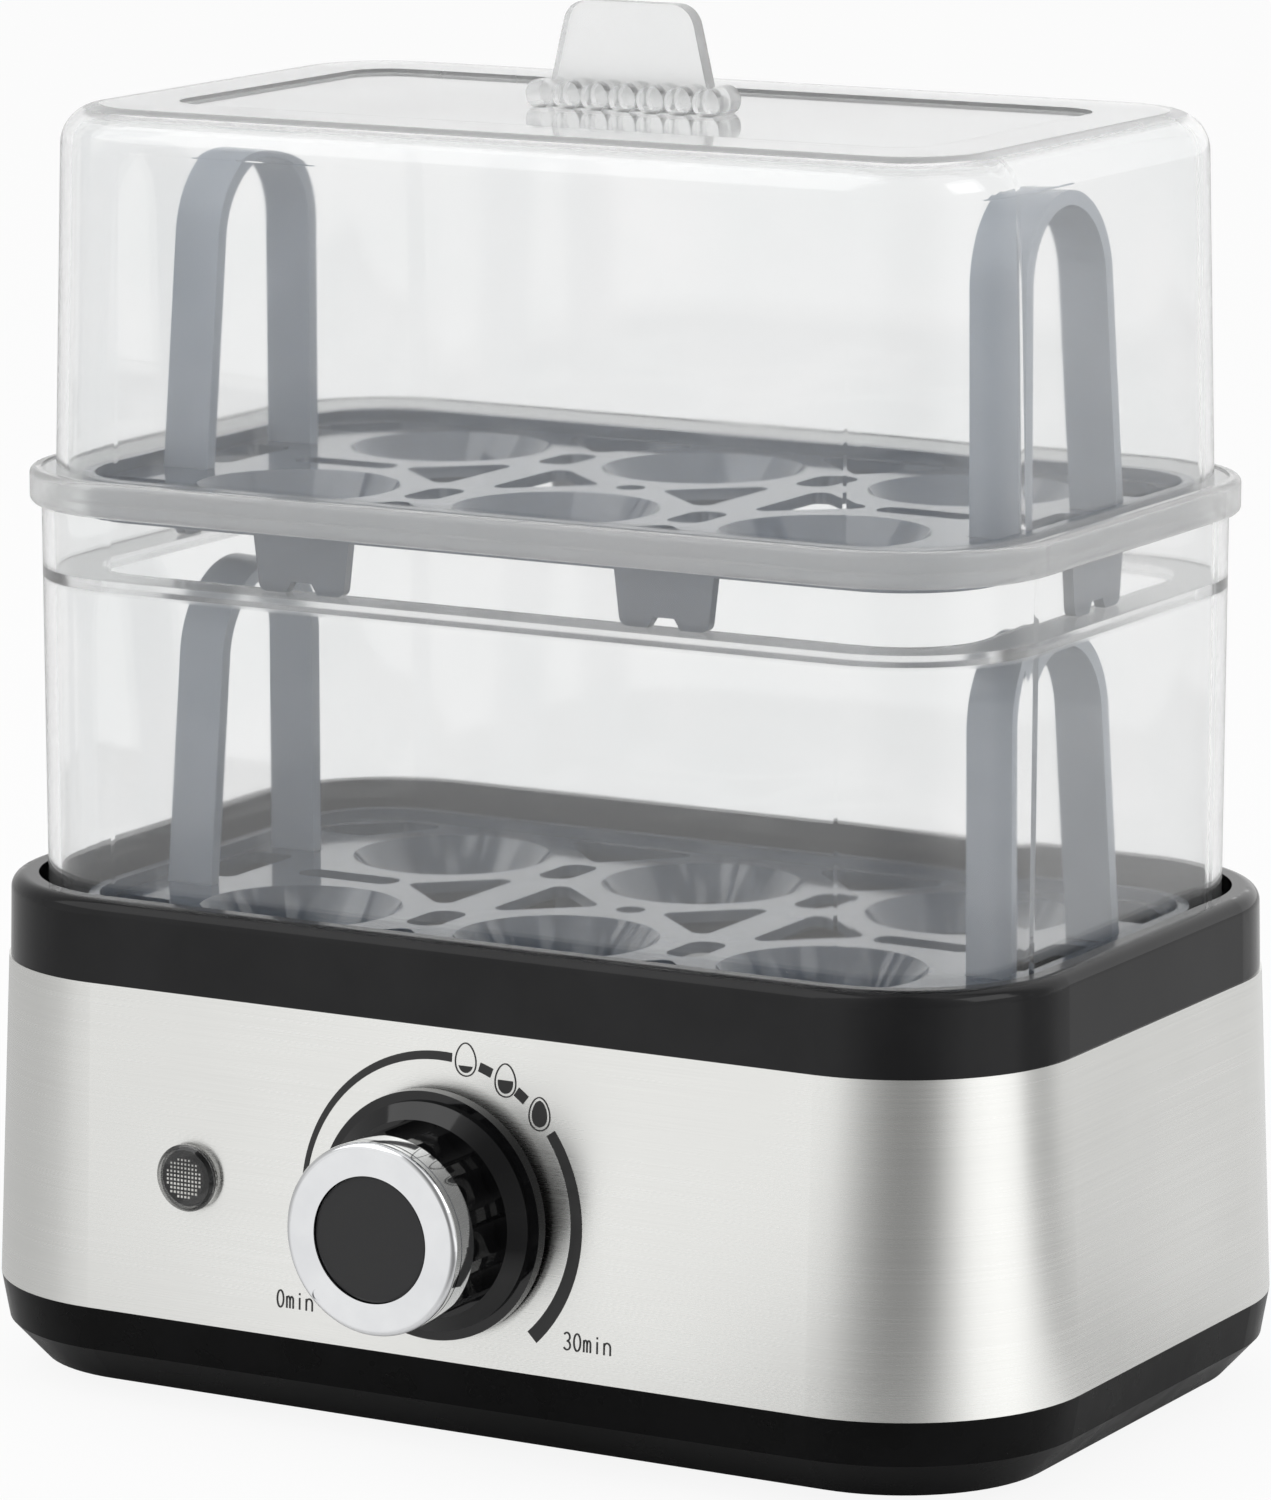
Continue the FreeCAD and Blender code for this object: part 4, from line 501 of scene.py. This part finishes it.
    def _text(self, name: str, text: str, left: float) -> None:
        """Build one printed time.

        Args:
            name: The piece's name.
            text: Its characters.
            left: Its left edge.
        """
        mesh = bmesh.new()
        for i, sign in enumerate(text):
            for line in self._glyph_paths(sign):
                path = [(left + i * self.advance + u * self.glyph[0], self.text_foot + v * self.glyph[1])
                        for u, v in line]
                self._lay(mesh, stroke(path, [self.line] * len(path)))
        make_piece(name, mesh, INK, "base")

    def build(self) -> None:
        """Build the whole print."""
        self._arc()
        for angle, done in zip(self.egg_angles, Doneness):
            self._egg(angle, done)
        self._text("time_start", "0min", self.start_left)
        self._text("time_end", "30min", self.end_left)


@dataclass
class Lamp:
    """The indicator: a clear lens with moulded facets, held by a washer, and the neon lamp behind it."""

    face: FrontFace = FrontFace()
    place: float = -50.0
    pitch: float = 0.72
    rows: int = 10
    reach: float = 3.6
    lift: float = 2.1
    tall: float = 0.18
    half_foot: float = 0.2088

    def _square(self, mesh: bmesh.types.BMesh, middle: Point, half: float,
                lift: float) -> list[bmesh.types.BMVert]:
        """Add the corners of one square level of a facet.

        Args:
            mesh: The mesh that gets them.
            middle: The facet's middle, from the lamp's middle.
            half: Half the square's side.
            lift: Its distance in front of the band's face.

        Returns:
            The four corners, in order.
        """
        return [mesh.verts.new(self.face.point(self.place + middle[0] + x * half, middle[1] + z * half, lift))
                for x, z in ((-1, -1), (1, -1), (1, 1), (-1, 1))]

    def build(self) -> None:
        """Build the facets, a round field of small blunt pyramids on the lens."""
        mesh = bmesh.new()
        steps = [(i + 0.5 - self.rows / 2) * self.pitch for i in range(self.rows)]
        for middle in ((u, v) for v in steps for u in steps if math.hypot(u, v) <= self.reach):
            foot = self._square(mesh, middle, self.half_foot, self.lift)
            head = self._square(mesh, middle, self.half_foot / 2, self.lift + self.tall)
            mesh.faces.new(foot)
            mesh.faces.new(head)
            for i in range(4):
                mesh.faces.new((foot[i], foot[i - 1], head[i - 1], head[i]))
        # The facets are white: painted highlights for the light they catch.
        make_piece("lamp_facets", mesh, FACET_PAINTED_HIGHLIGHT, "base")

    def dress(self) -> None:
        """Give the lamp's pieces their finishes."""
        # The lens's grey tint is painted shade.
        dress(LENS_PAINTED_SHADE, "lamp_lens")
        dress(SATIN_BLACK, "lamp_plug")
        dress(ZINC, "lamp_washer")
        dress(GLASS, "neon_bulb")


@dataclass
class Housing:
    """The base: black pan and collar, brushed band, feet and screws."""

    def dress(self) -> None:
        """Give the base's pieces their finishes."""
        dress(GLOSS_BLACK, "top_ring")
        # The pan's darker shades are painted shade from the table below.
        dress(PAN_BLACK_PAINTED_SHADE, "base_pan")
        dress(BRUSHED, "steel_band")
        dress(RUBBER, "rubber_feet")
        dress(ZINC, "base_screws")


@dataclass
class Knob:
    """The timer's knob: fluted body, chrome ring and dull insert."""

    def dress(self) -> None:
        """Give the knob's pieces their finishes."""
        dress(KNOB_BLACK, "knob_body")
        dress(CHROME, "knob_ring")
        dress(SATIN_BLACK, "knob_cap")


@dataclass
class Heater:
    """The water dish, its seal, the heater under it and its safety parts."""

    def dress(self) -> None:
        """Give the heater's pieces their finishes."""
        dress(POLISHED, "heating_plate")
        dress(SILICONE, "plate_gasket")
        dress(HEATER, "heating_element")
        dress(ZINC, "element_clamp", "clamp_nuts", "thermostat")
        dress(NYLON, "thermal_fuse")


@dataclass
class Timer:
    """The clockwork behind the knob."""

    def dress(self) -> None:
        """Give the timer's pieces their finishes."""
        dress(ZINC, "timer_plate", "timer_screws", "timer_shaft")
        dress(POLISHED, "timer_spring", "timer_bell")
        dress(NYLON, "timer_case", "timer_cam")
        dress(BRASS, "timer_terminals", "timer_gear", "timer_arbor")


@dataclass
class Wiring:
    """The cord inlet and the wires inside the base."""

    def dress(self) -> None:
        """Give the wiring's pieces their finishes."""
        dress(SATIN_BLACK, "cord_gland", "gland_nut")
        dress(NYLON, "terminal_block")
        dress(BROWN_WIRE, "live_wire")
        dress(RED_WIRE, "switched_wire", "lamp_wires")
        dress(BLUE_WIRE, "neutral_wire")


@dataclass
class Stack:
    """The egg racks with their handles, the clear tier and the clear lid."""

    def dress(self) -> None:
        """Give the stack's pieces their finishes."""
        for tray in ("lower", "upper"):
            dress(RACK, tray + "_rack")
            # The straps' paler shades are painted light.
            dress(STRAP_PAINTED_LIGHT, tray + "_handle_left", tray + "_handle_right")
        dress(CLEAR, "steam_tier", "lid")


# Studio


@dataclass
class Studio:
    """A white floor, a soft surround with a dark gap beside the camera, two large lamps and the camera."""

    azimuth: float = 29.57
    elevation: float = 10.772
    distance: float = 1365.6
    target: tuple[float, float, float] = (0.391, 9.84, 111.49)
    lens: float = 187.16
    floor_half: float = 9.0
    floor_white: float = 0.9
    shade_half: tuple[float, float] = (160.0, 130.0)
    shade_fade: float = 0.3
    soft_light: float = 0.72
    key_power: float = 6.0
    fill_power: float = 4.0
    # Directions on the close floor are drawn together and turned, in degrees, to meet the walls' directions.
    floor_draw: float = 0.86
    floor_turn: float = 7.6
    # What shiny surfaces mirror, by azimuth in degrees from the front: the brightness of the walls and of the
    # floor.
    surround: tuple[tuple[float, float, float], ...] = (
        (-90, 0.52, 0.52), (-75, 0.55, 0.55), (-40, 0.96, 0.94), (-12, 0.94, 0.92), (12, 0.4, 0.38),
        (25, 0.24, 0.21), (38, 0.22, 0.2), (49, 0.32, 0.3), (70, 0.95, 1.05), (85, 1.0, 1.2), (100, 1.0, 1.1),
        (110, 0.54, 0.5), (122, 0.52, 0.42), (140, 1.2, 0.66), (190, 1.2, 0.72), (232, 0.62, 0.6),
        (270, 0.52, 0.52),
    )

    def _seen(self, tree: bpy.types.NodeTree) -> bpy.types.NodeSocket:
        """Give 1 where a ray comes straight from the camera or through clear plastic, and 0 elsewhere."""
        path = add(tree, "LightPath").outputs
        return add(tree, "Math", {0: path["Is Camera Ray"], 1: path["Is Transmission Ray"]},
                   operation="MAXIMUM").outputs[0]

    def _in_mirror(self, tree: bpy.types.NodeTree) -> bpy.types.NodeSocket:
        """Give 1 where a ray comes from a shiny surface, but not through clear plastic, and 0 elsewhere."""
        shiny = add(tree, "LightPath").outputs["Is Glossy Ray"]
        return add(tree, "Math", {0: shiny, 1: self._seen(tree)},
                   operation="SUBTRACT", use_clamp=True).outputs[0]

    def _mirrored(self, tree: bpy.types.NodeTree, way: bpy.types.NodeSocket,
                  floor: bool) -> bpy.types.NodeSocket:
        """Give the colour that shiny surfaces mirror in each direction.

        Args:
            tree: The tree that gets the nodes.
            way: The direction, or a place on the floor seen from the object's middle.
            floor: Whether it is the floor.

        Returns:
            The colour's socket.
        """
        around = add(tree, "TexGradient", {"Vector": way}, gradient_type="RADIAL")
        ramp = add(tree, "ValToRGB", {"Fac": around.outputs["Fac"]})
        stops = ramp.color_ramp.elements
        while len(stops) < len(self.surround):
            stops.new(0.5)
        for stop, (azimuth, wall, ground) in zip(stops, self.surround):
            angle, level = azimuth, wall
            if floor:
                angle, level = azimuth * self.floor_draw + self.floor_turn, ground
            # The gradient starts at the left, a quarter turn before the front.
            stop.position = angle / 360 + 0.25
            stop.color = (level, level, level, 1.0)
        return ramp.outputs["Color"]

    def _world(self) -> None:
        """Light the object from a pale surround, with white behind it and walls for shiny surfaces."""
        world = bpy.data.worlds.new("Soft_surround")
        bpy.context.scene.world = world
        world.use_nodes = True
        tree = world.node_tree
        tree.nodes.clear()
        walls = self._mirrored(tree, add(tree, "TexCoord").outputs["Generated"], floor=False)
        level = add(tree, "Math", {0: self._seen(tree), 1: 1.0 - self.soft_light, 2: self.soft_light},
                    operation="MULTIPLY_ADD")
        white = add(tree, "Background", {"Color": (1.0, 1.0, 1.0, 1.0), "Strength": level.outputs[0]})
        sheen = add(tree, "Background", {"Color": walls, "Strength": 1.0})
        both = add(tree, "MixShader", {0: self._in_mirror(tree), 1: white.outputs[0], 2: sheen.outputs[0]})
        tree.links.new(both.outputs[0], add(tree, "OutputWorld").inputs["Surface"])

    def _floor(self) -> None:
        """Lay the floor: white where it is open, with the object's shadow, and mirrored as the walls are."""
        mesh = bmesh.new()
        bmesh.ops.create_grid(mesh, x_segments=2, y_segments=2, size=self.floor_half)
        data = bpy.data.meshes.new("studio_floor")
        mesh.to_mesh(data)
        mesh.free()
        floor = bpy.data.objects.new("studio_floor", data)
        bpy.context.scene.collection.objects.link(floor)
        material = bpy.data.materials.new("Studio_paper_matt")
        material.use_nodes = True
        tree = material.node_tree
        tree.nodes.clear()
        place = add(tree, "TexCoord").outputs["Object"]
        paper = add(tree, "BsdfDiffuse", {"Color": linear("#f2f2f2")})
        glow = add(tree, "Emission", {"Color": (1.0, 1.0, 1.0, 1.0), "Strength": 1.0})
        share = add(tree, "Math", {0: self._seen(tree), 1: self.floor_white}, operation="MULTIPLY")
        open_floor = add(tree, "MixShader", {0: share.outputs[0], 1: paper.outputs[0], 2: glow.outputs[0]})
        walls = add(tree, "Emission", {"Color": self._mirrored(tree, place, floor=True), "Strength": 1.0})
        # Under and close to the object the floor lies in shadow, and its mirror image is painted dark there:
        # a painted shadow in what shiny surfaces mirror.
        spread = [1 / (half * MM) for half in self.shade_half] + [1.0]
        near = add(tree, "Mapping", {"Vector": place, "Scale": spread})
        inside = add(tree, "TexGradient", {"Vector": near.outputs[0]}, gradient_type="SPHERICAL")
        clear = add(tree, "MapRange", {
            "Value": inside.outputs["Fac"], "From Min": 0.0, "From Max": self.shade_fade,
            "To Min": self.floor_white, "To Max": 0.0,
        })
        mirror = add(tree, "Math", {0: self._in_mirror(tree), 1: clear.outputs[0]}, operation="MULTIPLY")
        both = add(tree, "MixShader", {0: mirror.outputs[0], 1: open_floor.outputs[0], 2: walls.outputs[0]})
        tree.links.new(both.outputs[0], add(tree, "OutputMaterial").inputs["Surface"])
        data.materials.append(material)

    def _lamp(self, name: str, azimuth: float, elevation: float, distance: float, size: float,
              power: float) -> None:
        """Hang one large soft lamp that faces the object.

        Args:
            name: The lamp's name.
            azimuth: Its direction in degrees, from the front towards the right.
            elevation: Its height in degrees.
            distance: Its distance in metres.
            size: Its side in metres.
            power: Its power in watts.
        """
        data = bpy.data.lights.new(name, "AREA")
        data.size, data.energy = size, power
        lamp = bpy.data.objects.new(name, data)
        lamp.location = Vector(self.target) * MM + self._way(azimuth, elevation) * distance
        lamp.rotation_euler = self._way(azimuth, elevation).to_track_quat("Z", "Y").to_euler()
        bpy.context.scene.collection.objects.link(lamp)

    def _way(self, azimuth: float, elevation: float) -> Vector:
        """Give the unit direction of an azimuth and an elevation in degrees."""
        turn, rise = math.radians(azimuth), math.radians(elevation)
        return Vector((math.sin(turn) * math.cos(rise), -math.cos(turn) * math.cos(rise), math.sin(rise)))

    def _camera(self) -> None:
        """Set the camera where the photograph was taken."""
        data = bpy.data.cameras.new("Photo_camera")
        data.sensor_fit, data.sensor_height, data.lens = "VERTICAL", 36.0, self.lens
        data.clip_start, data.clip_end = 0.05, 40.0
        camera = bpy.data.objects.new("Photo_camera", data)
        way = self._way(self.azimuth, self.elevation)
        camera.location = (Vector(self.target) + way * self.distance) * MM
        camera.rotation_euler = way.to_track_quat("Z", "Y").to_euler()
        bpy.context.scene.collection.objects.link(camera)
        bpy.context.scene.camera = camera

    def build(self) -> None:
        """Set up the floor, the light and the camera."""
        bpy.context.scene.view_settings.view_transform = "Standard"
        self._world()
        self._floor()
        self._lamp("Key_softbox", azimuth=-48.0, elevation=48.0, distance=1.6, size=1.3,
                   power=self.key_power)
        self._lamp("Fill_softbox", azimuth=88.0, elevation=34.0, distance=1.6, size=0.8,
                   power=self.fill_power)
        self._camera()


def main() -> None:
    """Dress the CAD nodes, build the added pieces and set up the studio."""
    logging.basicConfig(level=logging.INFO, format="%(name)s: %(message)s")
    for part in (Housing(), Knob(), Heater(), Timer(), Wiring(), Stack()):
        part.dress()
    lamp = Lamp()
    lamp.build()
    lamp.dress()
    DialPrint().build()
    Studio().build()


if __name__ == "__main__":
    main()
